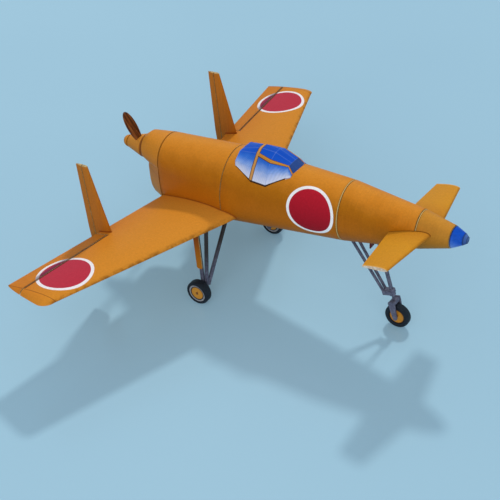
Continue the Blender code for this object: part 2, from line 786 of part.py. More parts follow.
# ---- Propeller ----
def propeller():
    hub = add_pivot("propeller_pivot", (spinner_x, 0, 0), rotation=(0, -math.pi / 2, 0))
    # in this pivot's frame +Z runs aft along the shaft
    cone_length = spinner_x - spinner_seam_x
    cap_length = spinner_seam_x - tail_x
    hole = shaft_radius + clearance
    wall = card
    outer = [(spinner_radius, 0), (spinner_radius, spinner_lip), (spinner_cap_radius, cone_length)]
    inner = [
        (spinner_cap_radius - wall, cone_length),
        (spinner_radius - spinner_wall, spinner_floor),
        (hole, spinner_floor),
        (hole, 0),
    ]
    turned("spinner_cone", list(reversed(outer + inner)), "orange", hub)
    start = cone_length + clearance
    spigot = spinner_cap_radius - wall - clearance
    front = start - spinner_spigot
    cap = [(hole, front), (spigot, front), (spigot, start), (spinner_cap_radius, start)]
    for angle in np.radians(dome_angles):
        cap.append((spinner_cap_radius * math.cos(angle), cone_length + cap_length * math.sin(angle)))
    cap += [(0.0, cone_length + cap_length), (0.0, start), (hole, start)]
    turned("spinner_cap", list(reversed(cap)), "orange", hub)
    bush_start = stations["tail"]["x"] + bush_inset
    reach = bush_start + bush_length - spinner_x + clearance
    shaft = [
        (0, start - clearance),
        (shaft_radius, start - clearance),
        (shaft_radius, -reach),
        (shaft_collar_radius, -reach),
        (shaft_collar_radius, -reach - shaft_collar_length),
        (0, -reach - shaft_collar_length),
    ]
    turned("propeller_shaft", shaft, "wire", hub, steps=20)
    bush = add_pivot("bush_place", (bush_start, 0, 0), rotation=(0, math.pi / 2, 0))
    bore = shaft_radius + running
    ring = [(bush_radius, bush_length), (bush_radius, 0), (bore, 0), (bore, bush_length)]
    turned("shaft_bush", ring, "bare_card", bush, steps=20)
    for number, turn in enumerate((0.0, math.pi)):
        blade("blade_%d" % (number + 1), turn, hub)


def blade(name, turn, hub):
    # Flat paddle with a square root that sits on the cone and a rounded tip
    share = (spinner_x - blade_root_x) / (spinner_x - spinner_seam_x)
    seat = between(spinner_radius, spinner_cap_radius, share) + clearance
    reach = blade_tip_radius - seat
    t = np.linspace(0, 1, blade_steps)
    swell = np.sin(np.clip(t / blade_peak, 0, 1) * math.pi / 2)
    beyond = np.clip((t - blade_peak) / (1 - blade_peak), 0, 1)
    width = between(blade_root_width / 2, blade_width / 2, swell) * np.sqrt(1 - beyond**blade_round)
    width[-1] = 0.0
    half = blade_thickness / 2
    edge = [(w, seat + reach * u) for w, u in zip(width, t)]
    ring = edge + [(-w, z) for w, z in reversed(edge[:-1])]
    mesh = loft(name, [[(depth, w, z) for w, z in ring] for depth in (-half, half)])
    mesh.transform(Matrix.Rotation(blade_pitch, 4, "Z"))
    obj = add_part(name, mesh, "wood_print", hub)
    # the pivot's Z is aft, its X is up: stand the blade along X, then turn it about the shaft
    stand = Matrix.Rotation(math.pi / 2, 4, "Y")
    spin = Matrix.Rotation(turn + blade_lean, 4, "Z")
    obj.matrix_local = Matrix.Translation((0, 0, spinner_x - blade_root_x)) @ spin @ stand
    return obj


# ---- Undercarriage ----
def ground_z(x, radius=0.0):
    # Height in the level frame of a wheel centre that rests on the ground at x
    return (radius - ride_height - x * math.sin(stance)) / math.cos(stance)


def wheel(tag, size, y):
    # Tyre and printed disc on one pivot, turned so that one tread facet lies flat on the ground
    z = ground_z(size["x"], size["radius"])
    pivot = add_pivot("wheel_pivot_" + tag, (size["x"], y, z), rotation=(math.pi / 2, 0, 0))
    r = size["radius"] / math.cos(math.pi / wheel_facets)
    w = size["width"] / 2
    curve = tread_round * size["width"]
    hole = size["disc"] + disc_fit
    half = [(hole, w - bead_step), (hole + bead, w)]
    for angle in np.radians(tread_angles):
        half.append((r - curve + curve * math.cos(angle), w - curve + curve * math.sin(angle)))
    tyre = [(hole, -w + bead_step)] + half + [(radius, -height) for radius, height in half[:0:-1]]
    obj = turned("tyre_" + tag, tyre, "tyre", pivot, steps=wheel_facets)
    facet = math.pi / wheel_facets - stance
    obj.rotation_euler = (0, 0, facet)
    rim = size["disc"] - clearance
    depth = w - disc_inset
    face = depth - rim_step
    bore = axle_radius + running
    disc = [
        (bore, -depth),
        (rim, -depth),
        (rim, depth),
        (rim - rim_width, depth),
        (rim - rim_width - rim_slope, face),
        (bore, face),
    ]
    obj = turned("wheel_disc_" + tag, list(reversed(disc)), "hub", pivot, steps=wheel_facets)
    obj.rotation_euler = (0, 0, facet)
    return z


def main_gear(side, tag):
    wheel_x = main_wheel["x"]
    hub_z = wheel(tag, main_wheel, side * main_wheel["y"])
    inner = side * leg_y
    axle_start = side * (leg_y + leg_radius + clearance)
    axle_end = side * (main_wheel["y"] + main_wheel["width"] / 2 - axle_recess)
    rod("axle_" + tag, (wheel_x, axle_start, hub_z), (wheel_x, axle_end, hub_z), axle_radius, "wire")
    top = underside(leg_top_x, inner) - clearance
    foot = (wheel_x, inner, hub_z - leg_end)
    leg = rod("main_leg_" + tag, (leg_top_x, inner, top), foot, leg_radius, "gear_grey", sides=16)
    ahead, above = strut_foot_offset
    strut_top = (strut_top_x, inner, underside(strut_top_x, inner) - clearance)
    strut_foot = (wheel_x + ahead, inner, hub_z + above)
    rod("front_strut_" + tag, strut_top, strut_foot, strut_radius, "gear_grey")
    ahead, across, above = stay_foot_offset
    start = (stay_top[0], side * stay_top[1], stay_top[2])
    end = (wheel_x + ahead, side * (leg_y + across), hub_z + above)
    stay = rod("side_stay_" + tag, start, end, stay_radius, "gear_grey")
    boolean(stay, fuselage_cutter)
    # The door lies against a flat on the outer side of the leg
    face = leg_y + door_seat
    lean = math.atan2(wheel_x - leg_top_x, top - hub_z)
    middle = door_top_gap + door_length / 2
    centre = (leg_top_x + middle * math.sin(lean), 0, top - middle * math.cos(lean))
    place = add_pivot("door_place_" + tag, centre, rotation=(0, -lean, 0))
    size = (door_width, door_thickness, door_length)
    door = box_mesh("gear_door_" + tag, (0, side * (face + door_thickness / 2), 0), size)
    add_part("gear_door_" + tag, door, "orange", place)
    margin = 2 * (clearance + leg_radius)
    depth = 2 * leg_radius + clearance
    size = (door_width + margin, depth, door_length + 2 * clearance)
    flat_mesh = box_mesh("door_flat_" + tag, (0, side * (face + depth / 2 - clearance), 0), size)
    flat = add_cutter("door_flat_" + tag, flat_mesh)
    flat.parent = place
    boolean(leg, flat)


def nose_gear():
    hub_z = ground_z(nose_wheel["x"], nose_wheel["radius"])
    top = Vector((nose_leg_x, 0, section_at(nose_leg_x)["bottom"] + nose_leg_sink))
    hub = Vector((nose_wheel["x"], 0, hub_z))
    down = (hub - top).normalized()
    lean = math.atan2(down.x, -down.z)
    centre = hub - down * collar_rise
    upper_end = centre - down * (boss_height / 2 + clearance)
    leg = rod("nose_leg", tuple(top), tuple(upper_end), nose_leg_radius, "gear_grey")
    boolean(leg, fuselage_cutter)
    # The bracket is glued to the leg and the braces; the sliding leg turns in its boss
    frame = add_pivot("collar_place", tuple(centre), rotation=(0, -lean, 0))
    size = (collar_aft + collar_ahead, collar_width, collar_height)
    block = box_mesh("leg_collar", ((collar_ahead - collar_aft) / 2, 0, 0), size)
    collar = add_part("leg_collar", block, "gear_grey", frame)
    boolean(collar, upright_cutter("collar_boss", boss_radius, boss_height, frame), "UNION")
    bore = upright_cutter("collar_bore", nose_slide_radius + running, 2 * boss_height, frame)
    boolean(collar, bore)
    return hub, lean, centre


def nose_fork(hub, lean, collar_centre):
    # Sliding leg, bridge and two tapered plates: the body that swivels in the collar
    swivel = add_pivot("fork_pivot", tuple(collar_centre), rotation=(0, -lean, 0))
    span = (hub - collar_centre).length
    half = nose_wheel["width"] / 2 + fork_gap + fork_plate
    bridge_low = -(span - nose_wheel["radius"] - fork_crown_gap)
    bridge_top = bridge_low + fork_bridge
    pin_top = boss_height / 2 - clearance / 2
    depth = pin_top - (bridge_top + clearance)
    pin = bar_mesh("sliding_leg", nose_slide_radius, depth, 16, centre=pin_top - depth / 2)
    add_part("sliding_leg", pin, "gear_grey", swivel, smooth_angle=40)
    middle = (0, 0, (bridge_low + bridge_top) / 2)
    block = box_mesh("nose_fork", middle, (fork_width, 2 * half, fork_bridge))
    bridge = add_part("nose_fork", block, "gear_grey", swivel)
    end_radius = fork_end_width / 2
    around = [math.radians(a) for a in range(180, 361, 30)]
    plate_outline = [(end_radius * math.cos(a), -span + end_radius * math.sin(a)) for a in around]
    shoulder = fork_width / 2 + fork_shoulder
    crown = bridge_top + fork_shoulder
    plate_outline += [
        (shoulder, bridge_low),
        (shoulder, crown),
        (-shoulder, crown),
        (-shoulder, bridge_low),
    ]
    for side, tag in ((1, "port"), (-1, "starboard")):
        faces_at = (half - fork_plate, half + fork_sink)
        rings = [[(x, side * y, z) for x, z in plate_outline] for y in faces_at]
        plate = add_cutter("fork_plate_" + tag, loft("fork_plate_" + tag, rings))
        plate.parent = swivel
        boolean(bridge, plate, "UNION")
    return half


def nose_wheel_group(hub, half):
    wheel("nose", nose_wheel, 0.0)
    reach = half - fork_plate - clearance
    rod("axle_nose", (hub.x, -reach, hub.z), (hub.x, reach, hub.z), axle_radius, "wire")


def nose_braces(collar_centre, lean):
    aft, above = brace_end_offset
    behind = Vector((-collar_aft - clearance, 0, 0))
    behind.rotate(Matrix.Rotation(-lean, 3, "Y"))
    foot_z = section_at(brace_foot_x)["bottom"] + brace_sink
    for side, tag in ((1, "left"), (-1, "right")):
        start = (brace_foot_x, side * brace_spread_top, foot_z)
        end = collar_centre + behind + Vector((aft, side * brace_spread_low, above))
        brace = rod("nose_brace_" + tag, start, tuple(end), brace_radius, "gear_grey", sides=10)
        boolean(brace, fuselage_cutter)


def nose_door():
    x = nose_leg_x - nose_door_back
    z = section_at(x)["bottom"] - nose_door_drop
    door = add_part("nose_door", box_mesh("nose_door", (x, 0, z), nose_door_size), "dark_red")
    boolean(door, fuselage_cutter)


# ---- Assembly ----
clear_scene()
parts = make_collection("propeller_plane_model")
cutters = make_collection("cutters")
airframe = bpy.data.objects.new("airframe_level_frame", None)
parts.objects.link(airframe)
airframe.location = (0, 0, ride_height)
airframe.rotation_euler = (0, -stance, 0)

# The fuselage's outer form plus the joint clearance trims whatever is glued to it
cut_names = ["cowl", "wing", "front", "canard", "glass"]
cut_rings = [ring_at(stations["cowl"]["x"] - cut_overrun, clearance, stations["cowl"])]
cut_rings += [ring_at(stations[n]["x"], clearance, stations[n]) for n in cut_names]
fuselage_cutter = add_cutter("fuselage_clearance", loft("fuselage_clearance", cut_rings))
spar_pocket = add_cutter("spar_pocket", spar_mesh("spar_pocket", clearance))
tab_pocket = add_cutter("tab_pocket", tab_mesh("tab_pocket", clearance))

nose_glazing()
fuselage_shell("nose_section", "canard", "glass")
front = fuselage_shell("forward_section", "front", "canard")
boolean(front, tab_pocket)
fuselage_shell("cockpit_section", "wing", "front")
rear = fuselage_shell("rear_section", "cowl", "wing")
boolean(rear, spar_pocket)
tail_cowl()

former("former_glass", stations["glass"]["x"])
former("former_canard", stations["canard"]["x"] + former_thickness)
former("former_front", stations["front"]["x"])
former("former_wing", stations["wing"]["x"])
former("former_cowl", stations["cowl"]["x"] + former_thickness)

add_part("wing_spar", spar_mesh("wing_spar"), "bare_card")
add_part("canard_tab", tab_mesh("canard_tab"), "bare_card")
canopy()
propeller()
for side, tag in ((1, "left"), (-1, "right")):
    wing(side, tag)
    elevon(side, tag)
    fin(side, tag)
    rudder(side, tag)
    canard(side, tag)
    main_gear(side, tag)
hub, lean, collar_centre = nose_gear()
half = nose_fork(hub, lean, collar_centre)
nose_wheel_group(hub, half)
nose_braces(collar_centre, lean)
nose_door()
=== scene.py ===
# A card model aeroplane with a pusher propeller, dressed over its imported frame.
# Every shape is worked out in the aeroplane's level frame, in millimetres: X to the nose, Y to port,
# Z up from the thrust line. toWorld() sets it nose-up on its wheels, in metres.
import math

import bmesh
import bpy
import numpy as np
from mathutils import Matrix, Vector


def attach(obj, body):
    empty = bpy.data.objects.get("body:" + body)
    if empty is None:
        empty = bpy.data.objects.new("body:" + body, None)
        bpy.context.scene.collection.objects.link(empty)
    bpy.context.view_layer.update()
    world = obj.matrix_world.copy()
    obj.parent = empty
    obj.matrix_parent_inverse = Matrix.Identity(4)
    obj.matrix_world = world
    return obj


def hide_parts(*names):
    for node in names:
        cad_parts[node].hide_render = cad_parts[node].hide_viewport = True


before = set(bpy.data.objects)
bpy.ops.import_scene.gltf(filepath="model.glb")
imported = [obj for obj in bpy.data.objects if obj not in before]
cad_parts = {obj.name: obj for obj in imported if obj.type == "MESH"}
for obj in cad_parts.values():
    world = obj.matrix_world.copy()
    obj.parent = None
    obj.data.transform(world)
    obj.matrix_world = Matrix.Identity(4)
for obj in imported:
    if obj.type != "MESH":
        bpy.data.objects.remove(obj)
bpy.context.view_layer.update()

stance = math.radians(1.85)     # nose-up attitude
rideHeight = 40.6               # thrust line above the floor, mm
print("frame loaded,", len(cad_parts), "nodes")


def toWorld(points):
    # level frame in mm -> world in metres: turned about Y by the stance, then raised
    x, y, z = np.moveaxis(np.asarray(points, float), -1, 0)
    cosine, sine = math.cos(stance), math.sin(stance)
    return np.stack([x * cosine - z * sine, y, rideHeight + x * sine + z * cosine], axis=-1) * 0.001


def hexToLinear(text):
    # sRGB hex -> linear RGBA
    values = np.array([int(text[i:i + 2], 16) for i in (1, 3, 5)]) / 255
    linear = np.where(values <= 0.04045, values / 12.92, ((values + 0.055) / 1.055) ** 2.4)
    return (*(float(v) for v in linear), 1.0)


def buildPiece(settings, sheets, extra=None):
    # Each sheet is a grid of points (rows, columns, 3) in mm with its own surface coordinates
    # (rows, columns, 2) in mm; edges that meet are welded, and the faces are turned outward
    points, faces, uvs, slots = [], [], [], []
    start = 0
    for sheet in sheets:
        grid = np.asarray(sheet["points"], float)
        rows, columns = grid.shape[:2]
        uv = sheet.get("uv")
        if uv is None:
            uv = np.stack([grid[..., 0], grid[..., 1]], axis=-1)
        index = start + np.arange(rows * columns).reshape(rows, columns)
        quads = np.stack([index[:-1, :-1], index[1:, :-1], index[1:, 1:], index[:-1, 1:]], axis=-1)
        quads = quads.reshape(-1, 4)
        points.append(grid.reshape(-1, 3))
        uvs.append(uv.reshape(-1, 2)[quads.reshape(-1) - start])
        faces.append(quads)
        slots.append(np.full(len(quads), sheet.get("slot", 0)))
        start += rows * columns
    mesh = bpy.data.meshes.new(settings["name"])
    mesh.from_pydata(toWorld(np.concatenate(points)).tolist(), [], np.concatenate(faces).tolist())
    layer = mesh.uv_layers.new(name="surface")
    layer.data.foreach_set("uv", np.concatenate(uvs).astype(np.float32).reshape(-1))
    mesh.polygons.foreach_set("material_index", np.concatenate(slots).astype(np.int32))
    if settings.get("root"):
        extra = dict(rootDistance=outsideBody(np.concatenate(points)))
    if extra:
        for name, values in extra.items():
            attribute = mesh.attributes.new(name, "FLOAT", "POINT")
            attribute.data.foreach_set("value", np.asarray(values, np.float32).reshape(-1))
    work = bmesh.new()
    work.from_mesh(mesh)
    bmesh.ops.remove_doubles(work, verts=work.verts, dist=settings.get("weld", 0.000002))
    bmesh.ops.dissolve_degenerate(work, edges=work.edges, dist=0.0000005)
    bmesh.ops.recalc_face_normals(work, faces=work.faces)
    work.to_mesh(mesh)
    work.free()
    mesh.shade_smooth()
    mesh.set_sharp_from_angle(angle=math.radians(settings.get("crease", 35)))
    piece = bpy.data.objects.new(settings["name"], mesh)
    bpy.context.scene.collection.objects.link(piece)
    for material in settings["materials"]:
        mesh.materials.append(material)
    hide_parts(*settings["nodes"])
    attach(piece, settings.get("body", "airframe"))
    return piece


def lerp(low, high, share):
    # low plus that share of the way to high
    return low + (high - low) * share


def between(first, last, uv=None, slot=0):
    # A strip of faces that joins two matching lines of points
    return dict(points=np.stack([first, last]), uv=uv, slot=slot)


def turnedSheet(profile, steps=96):
    # (x, radius) pairs carried round an axis along X: y = r cos a, z = r sin a
    x, radius = np.array(profile, float).T
    angle = np.linspace(0, 2 * math.pi, steps + 1)
    grid = np.stack([
        np.repeat(x[:, None], steps + 1, 1),
        radius[:, None] * np.cos(angle), radius[:, None] * np.sin(angle)], axis=-1)
    uv = np.stack([grid[..., 0], radius.max() * np.broadcast_to(angle, grid.shape[:2])], axis=-1)
    return dict(points=grid, uv=uv)


def roundedProfile(corners, radius, steps=5):
    # A run of (x, r) corners; each inner corner becomes (1-t)^2 start + 2t(1-t) corner + t^2 end
    corners = np.array(corners, float)
    result = [corners[0]]
    for before, corner, after in zip(corners, corners[1:], corners[2:]):
        back, ahead = before - corner, after - corner
        cut = min(radius, np.linalg.norm(back) / 2.2, np.linalg.norm(ahead) / 2.2)
        start = corner + back / np.linalg.norm(back) * cut
        end = corner + ahead / np.linalg.norm(ahead) * cut
        share = np.linspace(0, 1, steps)[:, None]
        arc = (1 - share) ** 2 * start + 2 * share * (1 - share) * corner + share ** 2 * end
        result.extend(arc)
    result.append(corners[-1])
    return np.array(result)


def axisFrame(start, end):
    # Two directions across the line from start to end, and its length
    along = np.array(end, float) - np.array(start, float)
    length = np.linalg.norm(along)
    along /= length
    side = np.cross(along, (1.0, 0.0, 0.0) if abs(along[0]) < 0.9 else (0.0, 1.0, 0.0))
    side /= np.linalg.norm(side)
    return along, side, np.cross(along, side), length


def rodSheet(start, end, radius, steps=28, edge=0.08):
    # A rolled-paper rod: circle carried from start to end, its rims slightly rounded
    along, side, up, length = axisFrame(start, end)
    corners = [(0, 0), (0, radius), (length * 0.5, radius), (length, radius), (length, 0)]
    profile = roundedProfile(corners, edge * 2)
    angle = np.linspace(0, 2 * math.pi, steps + 1)
    ring = side * np.cos(angle)[:, None] + up * np.sin(angle)[:, None]
    grid = np.array(start) + profile[:, 0, None, None] * along + profile[:, 1, None, None] * ring
    uv = np.stack([
        np.repeat(profile[:, :1], steps + 1, 1),
        np.broadcast_to(angle * radius, grid.shape[:2])], axis=-1)
    return dict(points=grid, uv=uv)


def prismSheets(outline, low, high, place, edge=0.08, slot=0, edgeSlot=0):
    # A flat plate: outline (a, b) at two depths with a narrow rounded rim; place turns (a, b, depth)
    # into a point of the level frame
    outline = np.array(outline, float)
    closed = np.vstack([outline, outline[:1]])
    middle = outline.mean(0)
    inner = middle + (closed - middle) * (1 - edge / np.abs(outline - middle).max())
    centre = np.broadcast_to(middle, closed.shape)
    uv = np.stack([centre, inner, closed, closed, inner, centre])
    depth = np.array([low, low, low + edge, high - edge, high, high])[:, None]
    grid = place(uv[..., 0], uv[..., 1], depth + 0 * uv[..., 0])
    return [
        dict(points=grid[:2], uv=uv[:2], slot=slot),
        dict(points=grid[1:5], uv=uv[1:5], slot=edgeSlot),
        dict(points=grid[4:], uv=uv[4:], slot=slot)]


def addNode(tree, kind, feeds=None, stops=None, **settings):
    # Adds a node, sets or links its sockets, and gives back the output it is used by
    made = tree.nodes.new("ShaderNode" + kind)
    for key, value in settings.items():
        setattr(made, key, value)
    if stops:
        ramp = made.color_ramp
        while len(ramp.elements) < len(stops):
            ramp.elements.new(1.0)
        for element, (place, colour) in zip(ramp.elements, stops):
            element.position = place
            element.color = hexToLinear(colour)
    for socket, source in (feeds or {}).items():
        if isinstance(source, bpy.types.NodeSocket):
            tree.links.new(source, made.inputs[socket])
        else:
            made.inputs[socket].default_value = source
    return next((s for s in made.outputs if s.enabled), None)


def newMaterial(name, roughness, specular=0.5, metallic=0.0):
    material = bpy.data.materials.new(name)
    material.use_nodes = True
    tree = material.node_tree
    shader = tree.nodes["Principled BSDF"]
    shader.inputs["Roughness"].default_value = roughness
    shader.inputs["Specular IOR Level"].default_value = specular
    shader.inputs["Metallic"].default_value = metallic
    return material, tree, shader


def finishShader(tree, shader, ink, cloud, spread, relief, strength, depth, base=None):
    # Ink; roughness that follows the cloud, from its value less the first spread to plus the second;
    # relief as a bump of that depth in metres, laid over the base normal if there is one
    rough = shader.inputs["Roughness"].default_value
    tree.links.new(ink, shader.inputs["Base Color"])
    varied = addNode(tree, "MapRange",
        {0: cloud, 1: 0.3, 2: 0.7, 3: rough - spread[0], 4: rough + spread[1]})
    tree.links.new(varied, shader.inputs["Roughness"])
    feeds = {"Height": relief, "Strength": strength, "Distance": depth}
    if base is not None:
        feeds["Normal"] = base
    tree.links.new(addNode(tree, "Bump", feeds), shader.inputs["Normal"])


def shadedInk(tree, ink, factor):
    # Ink times a grey factor
    tone = addNode(tree, "CombineColor", {0: factor, 1: factor, 2: factor})
    return addNode(tree, "Mix", {0: 1.0, 6: ink, 7: tone}, data_type="RGBA", blend_type="MULTIPLY")


def levelPoint(tree):
    # Object coordinates turned back to the level frame, in mm
    place = tree.nodes.new("ShaderNodeTexCoord").outputs["Object"]
    return addNode(
        tree, "Mapping", {0: place, 1: (0, 0, rideHeight * 0.001), 2: (0, -stance, 0),
        3: (0.001, 0.001, 0.001)},
        vector_type="TEXTURE")


def planePoint(tree, plane):
    # The two coordinates that marks are drawn in, as (a, b, 0)
    if plane == "surface":
        return addNode(tree, "UVMap", uv_map="surface")
    split = addNode(tree, "SeparateXYZ", {0: levelPoint(tree)}).node.outputs
    if plane == "plan":
        across = addNode(tree, "Math", {0: split["Y"]}, operation="ABSOLUTE")
        return addNode(tree, "CombineXYZ", {0: split["X"], 1: across})
    return addNode(tree, "CombineXYZ", {0: split["X"], 1: split["Z"]})


def markMask(tree, place, mark):
    # 1 inside a disc, or along a straight line with a normal and an offset; soft at its edge
    if "attribute" in mark:
        far = addNode(tree, "Attribute", attribute_name=mark["attribute"]).node.outputs["Fac"]
        far = addNode(tree, "Math", {0: far}, operation="ABSOLUTE")
        reach = mark["width"]
    elif "radius" in mark:
        far = addNode(tree, "VectorMath", {0: place, 1: (*mark["centre"], 0)}, operation="DISTANCE")
        far = far.node.outputs["Value"]
        reach = mark["radius"]
    else:
        length = math.hypot(*mark["normal"])
        normal = (mark["normal"][0] / length, mark["normal"][1] / length, 0)
        through = mark["through"][0] * normal[0] + mark["through"][1] * normal[1]
        far = addNode(tree, "VectorMath", {0: place, 1: normal},
            operation="DOT_PRODUCT").node.outputs["Value"]
        far = addNode(tree, "Math", {0: far, 1: through}, operation="SUBTRACT")
        if not mark.get("oneSided"):
            far = addNode(tree, "Math", {0: far}, operation="ABSOLUTE")
        reach = mark["width"] / 2
    soft = mark.get("soft", 0.06)
    return addNode(
        tree, "MapRange", {0: far, 1: reach - soft, 2: reach + soft, 3: mark.get("strength", 1.0), 4: 0.0},
        interpolation_type="SMOOTHSTEP")


def printedCard(settings):
    # Inkjet-printed card: a ramp of ink along one coordinate, printed marks over it, the ink's fine
    # mottling, and the card's fibres as a faint relief. Gives the eye flat ink on slightly wavy paper
    material, tree, shader = newMaterial(settings["name"], settings["roughness"], 0.10)
    point = levelPoint(tree)
    place = planePoint(tree, settings["plane"])
    parts = addNode(tree, "SeparateXYZ", {0: place}).node.outputs
    rampSource = parts["X"] if settings.get("rampAlong", "b") == "a" else parts["Y"]
    if settings.get("rampMirror", True):
        rampSource = addNode(tree, "Math", {0: rampSource}, operation="ABSOLUTE")
    broad = addNode(tree, "TexNoise", {"Vector": point, "Scale": 0.22, "Detail": 3.0, "Roughness": 0.5})
    drift = addNode(tree, "MapRange", {
        0: broad, 1: 0.3, 2: 0.7, 3: -settings["drift"], 4: settings["drift"]})
    low, high = settings["rampRange"]
    rampPlace = addNode(tree, "Math", {0: rampSource, 1: drift}, operation="ADD")
    rampPlace = addNode(tree, "MapRange", {0: rampPlace, 1: low, 2: high, 3: 0.0, 4: 1.0})
    ink = addNode(tree, "ValToRGB", {0: rampPlace}, stops=settings["ramp"])
    for mark in settings.get("marks", []):
        mask = markMask(tree, place, mark)
        if mark.get("within"):
            mask = addNode(tree, "Math", {0: mask, 1: markMask(tree, place, mark["within"])},
                operation="MULTIPLY")
        if mark.get("blotch"):
            cloud = addNode(tree, "TexNoise", {"Vector": point, "Scale": mark["blotch"], "Detail": 2.0})
            cloud = addNode(tree, "MapRange", {0: cloud, 1: 0.42, 2: 0.62, 3: 0.15, 4: 1.0})
            mask = addNode(tree, "Math", {0: mask, 1: cloud}, operation="MULTIPLY")
        # a shade band runs the mark's colour through its colours across b: painted shade
        if mark.get("shade"):
            shadeRamp = addNode(tree, "MapRange", {0: parts["Y"], 1: mark["shade"][0], 2: mark["shade"][1]})
            colour = addNode(tree, "ValToRGB", {0: shadeRamp}, stops=mark["colours"])
        else:
            colour = hexToLinear(mark["colour"])
        ink = addNode(tree, "Mix", {0: mask, 6: ink, 7: colour}, data_type="RGBA")
    # ink specks are taken as about 0.1 mm, a guess; drawn about 0.6 mm so that they show
    speck = addNode(tree, "TexNoise", {"Vector": point, "Scale": 1.6, "Detail": 6.0, "Roughness": 0.72})
    speck = addNode(tree, "MapRange", {
        0: speck, 1: 0.3, 2: 0.7, 3: 1 - settings["mottle"], 4: 1 + settings["mottle"]})
    if settings.get("streak"):
        stretched = addNode(tree, "Mapping", {0: point, 3: settings["streak"]["scale"]})
        lines = addNode(tree, "TexNoise", {
            "Vector": stretched, "Scale": 1.0, "Detail": 3.0, "Roughness": 0.6})
        depth = settings["streak"]["depth"]
        lines = addNode(tree, "MapRange", {0: lines, 1: 0.3, 2: 0.7, 3: 1 - depth, 4: 1 + depth * 0.6})
        speck = addNode(tree, "Math", {0: speck, 1: lines}, operation="MULTIPLY")
    ink = shadedInk(tree, ink, speck)
    fibre = addNode(tree, "TexNoise", {"Vector": point, "Scale": 2.6, "Detail": 5.0, "Roughness": 0.62})
    # a hand-rolled tube is never quite true: long soft waves under the fibre
    wave = addNode(tree, "TexNoise", {"Vector": point, "Scale": 0.16, "Detail": 1.0})
    waves = addNode(tree, "Bump", {"Height": wave, "Strength": 1.0,
        "Distance": settings.get("wave", 0.00022)})
    finishShader(tree, shader, ink, fibre, (0.06, 0.08), fibre, 0.5, 0.00002, waves)
    return material


def plainCard(name, colour, dark, roughness=0.85, scale=1.4):
    # Bare card stock, cut: pale fibres with a little grime in the hollows. Gives the eye a rough, dull edge
    material, tree, shader = newMaterial(name, roughness, 0.25)
    point = levelPoint(tree)
    cloud = addNode(tree, "TexNoise", {"Vector": point, "Scale": scale, "Detail": 5.0, "Roughness": 0.65})
    ink = addNode(tree, "ValToRGB", {0: cloud}, stops=[(0.30, dark), (0.62, colour)])
    fuzz = addNode(tree, "TexNoise", {"Vector": point, "Scale": 7.0, "Detail": 3.0})
    finishShader(tree, shader, ink, cloud, (0.1, 0.05), fuzz, 0.6, 0.00003)
    return material


def roundel(centre, outer, inner, soft=0.10, red="#BC3347", white="#F0F0F8", shade=None, colours=None):
    # White disc, then the red one over it; given a shade band, the red runs through its colours across it, a
    # painted shade
    disc = dict(centre=centre, radius=inner, soft=soft, colour=red)
    if shade:
        disc.update(shade=shade, colours=colours)
    return [dict(centre=centre, radius=outer, soft=soft, colour=white), disc]


cardEdge = plainCard("cut card edge, pale layers", "#CDB684", "#8E6A34")
tornEdge = plainCard("torn card edge, white core", "#EADFD0", "#B98E62", scale=0.9)
innerCard = plainCard("inside face of the card, unprinted", "#C9BFA8", "#8F8468")
stockCard = plainCard("laminated card former", "#9C8A68", "#5E4C30")
print("materials started")


stations = {
    "tail": dict(x=-55.6, half=4.4, top=4.8, mid=0.1, bottom=-4.2, power=2.0),
    "cowl": dict(x=-45.0, half=8.4, top=7.5, mid=-1.1, bottom=-16.4, power=4.5),
    "wing": dict(x=-17.0, half=11.75, top=9.6, mid=-5.6, bottom=-15.6, power=2.7),
    "front": dict(x=25.9, half=8.9, top=8.5, mid=-1.9, bottom=-12.2, power=2.0),
    "canard": dict(x=50.9, half=5.6, top=5.75, mid=-0.9, bottom=-7.45, power=2.0),
    "glass": dict(x=61.4, half=3.6, top=3.25, mid=-0.1, bottom=-4.0, power=2.0),
    "facet": dict(x=65.0, half=1.9, top=1.9, mid=0.0, bottom=-1.9, power=2.0),
    "tip": dict(x=66.1, half=1.1, top=1.1, mid=0.0, bottom=-1.1, power=2.0),
}
order = list(stations)
upperPower = 2.05
seamGap = 0.30
seamShown = 0.16     # the gap as it looks once the butt joints are pressed home
cardThickness = 0.45


def sectionAt(x):
    # The station between its two neighbours, by straight lines
    for rear, ahead in zip(order, order[1:]):
        low, high = stations[rear], stations[ahead]
        if x <= high["x"]:
            share = (x - low["x"]) / (high["x"] - low["x"])
            return {key: lerp(low[key], high[key], share) for key in low}
    return stations["tip"]


def outsideBody(points):
    # How far each point lies outside the fuselage side: |y| less the superellipse's y at its x and z
    columns = {key: np.interp(points[:, 0], [stations[name]["x"] for name in order],
        [stations[name][key] for name in order])
               for key in ("half", "top", "mid", "bottom", "power")}
    above = points[:, 2] >= columns["mid"]
    power = np.where(above, upperPower, columns["power"])
    height = np.where(above, columns["top"] - columns["mid"], columns["mid"] - columns["bottom"])
    share = np.clip(np.abs(points[:, 2] - columns["mid"]) / height, 0, 1)
    return np.abs(points[:, 1]) - columns["half"] * (1 - share ** power) ** (1 / power)


def sectionRing(section, grow=0.0, count=160):
    # Superellipse in two halves: |y/a|^p + |z/b|^p = 1, from the belly round by starboard over the
    # top to port; also the arc length from the top, negative to starboard
    turn = np.linspace(-math.pi, math.pi, count + 1)
    across, up = np.sin(turn), np.cos(turn)
    across[[0, -1]] = 0.0
    power = np.where(up >= 0, upperPower, section["power"])
    above = section["top"] - section["mid"] + grow
    below = section["mid"] - section["bottom"] + grow
    height = np.where(up >= 0, above, below)
    y = (section["half"] + grow) * np.sign(across) * np.abs(across) ** (2 / power)
    z = section["mid"] + height * np.sign(up) * np.abs(up) ** (2 / power)
    arc = np.concatenate([[0], np.cumsum(np.hypot(np.diff(y), np.diff(z)))])
    return y, z, arc - arc[count // 2]


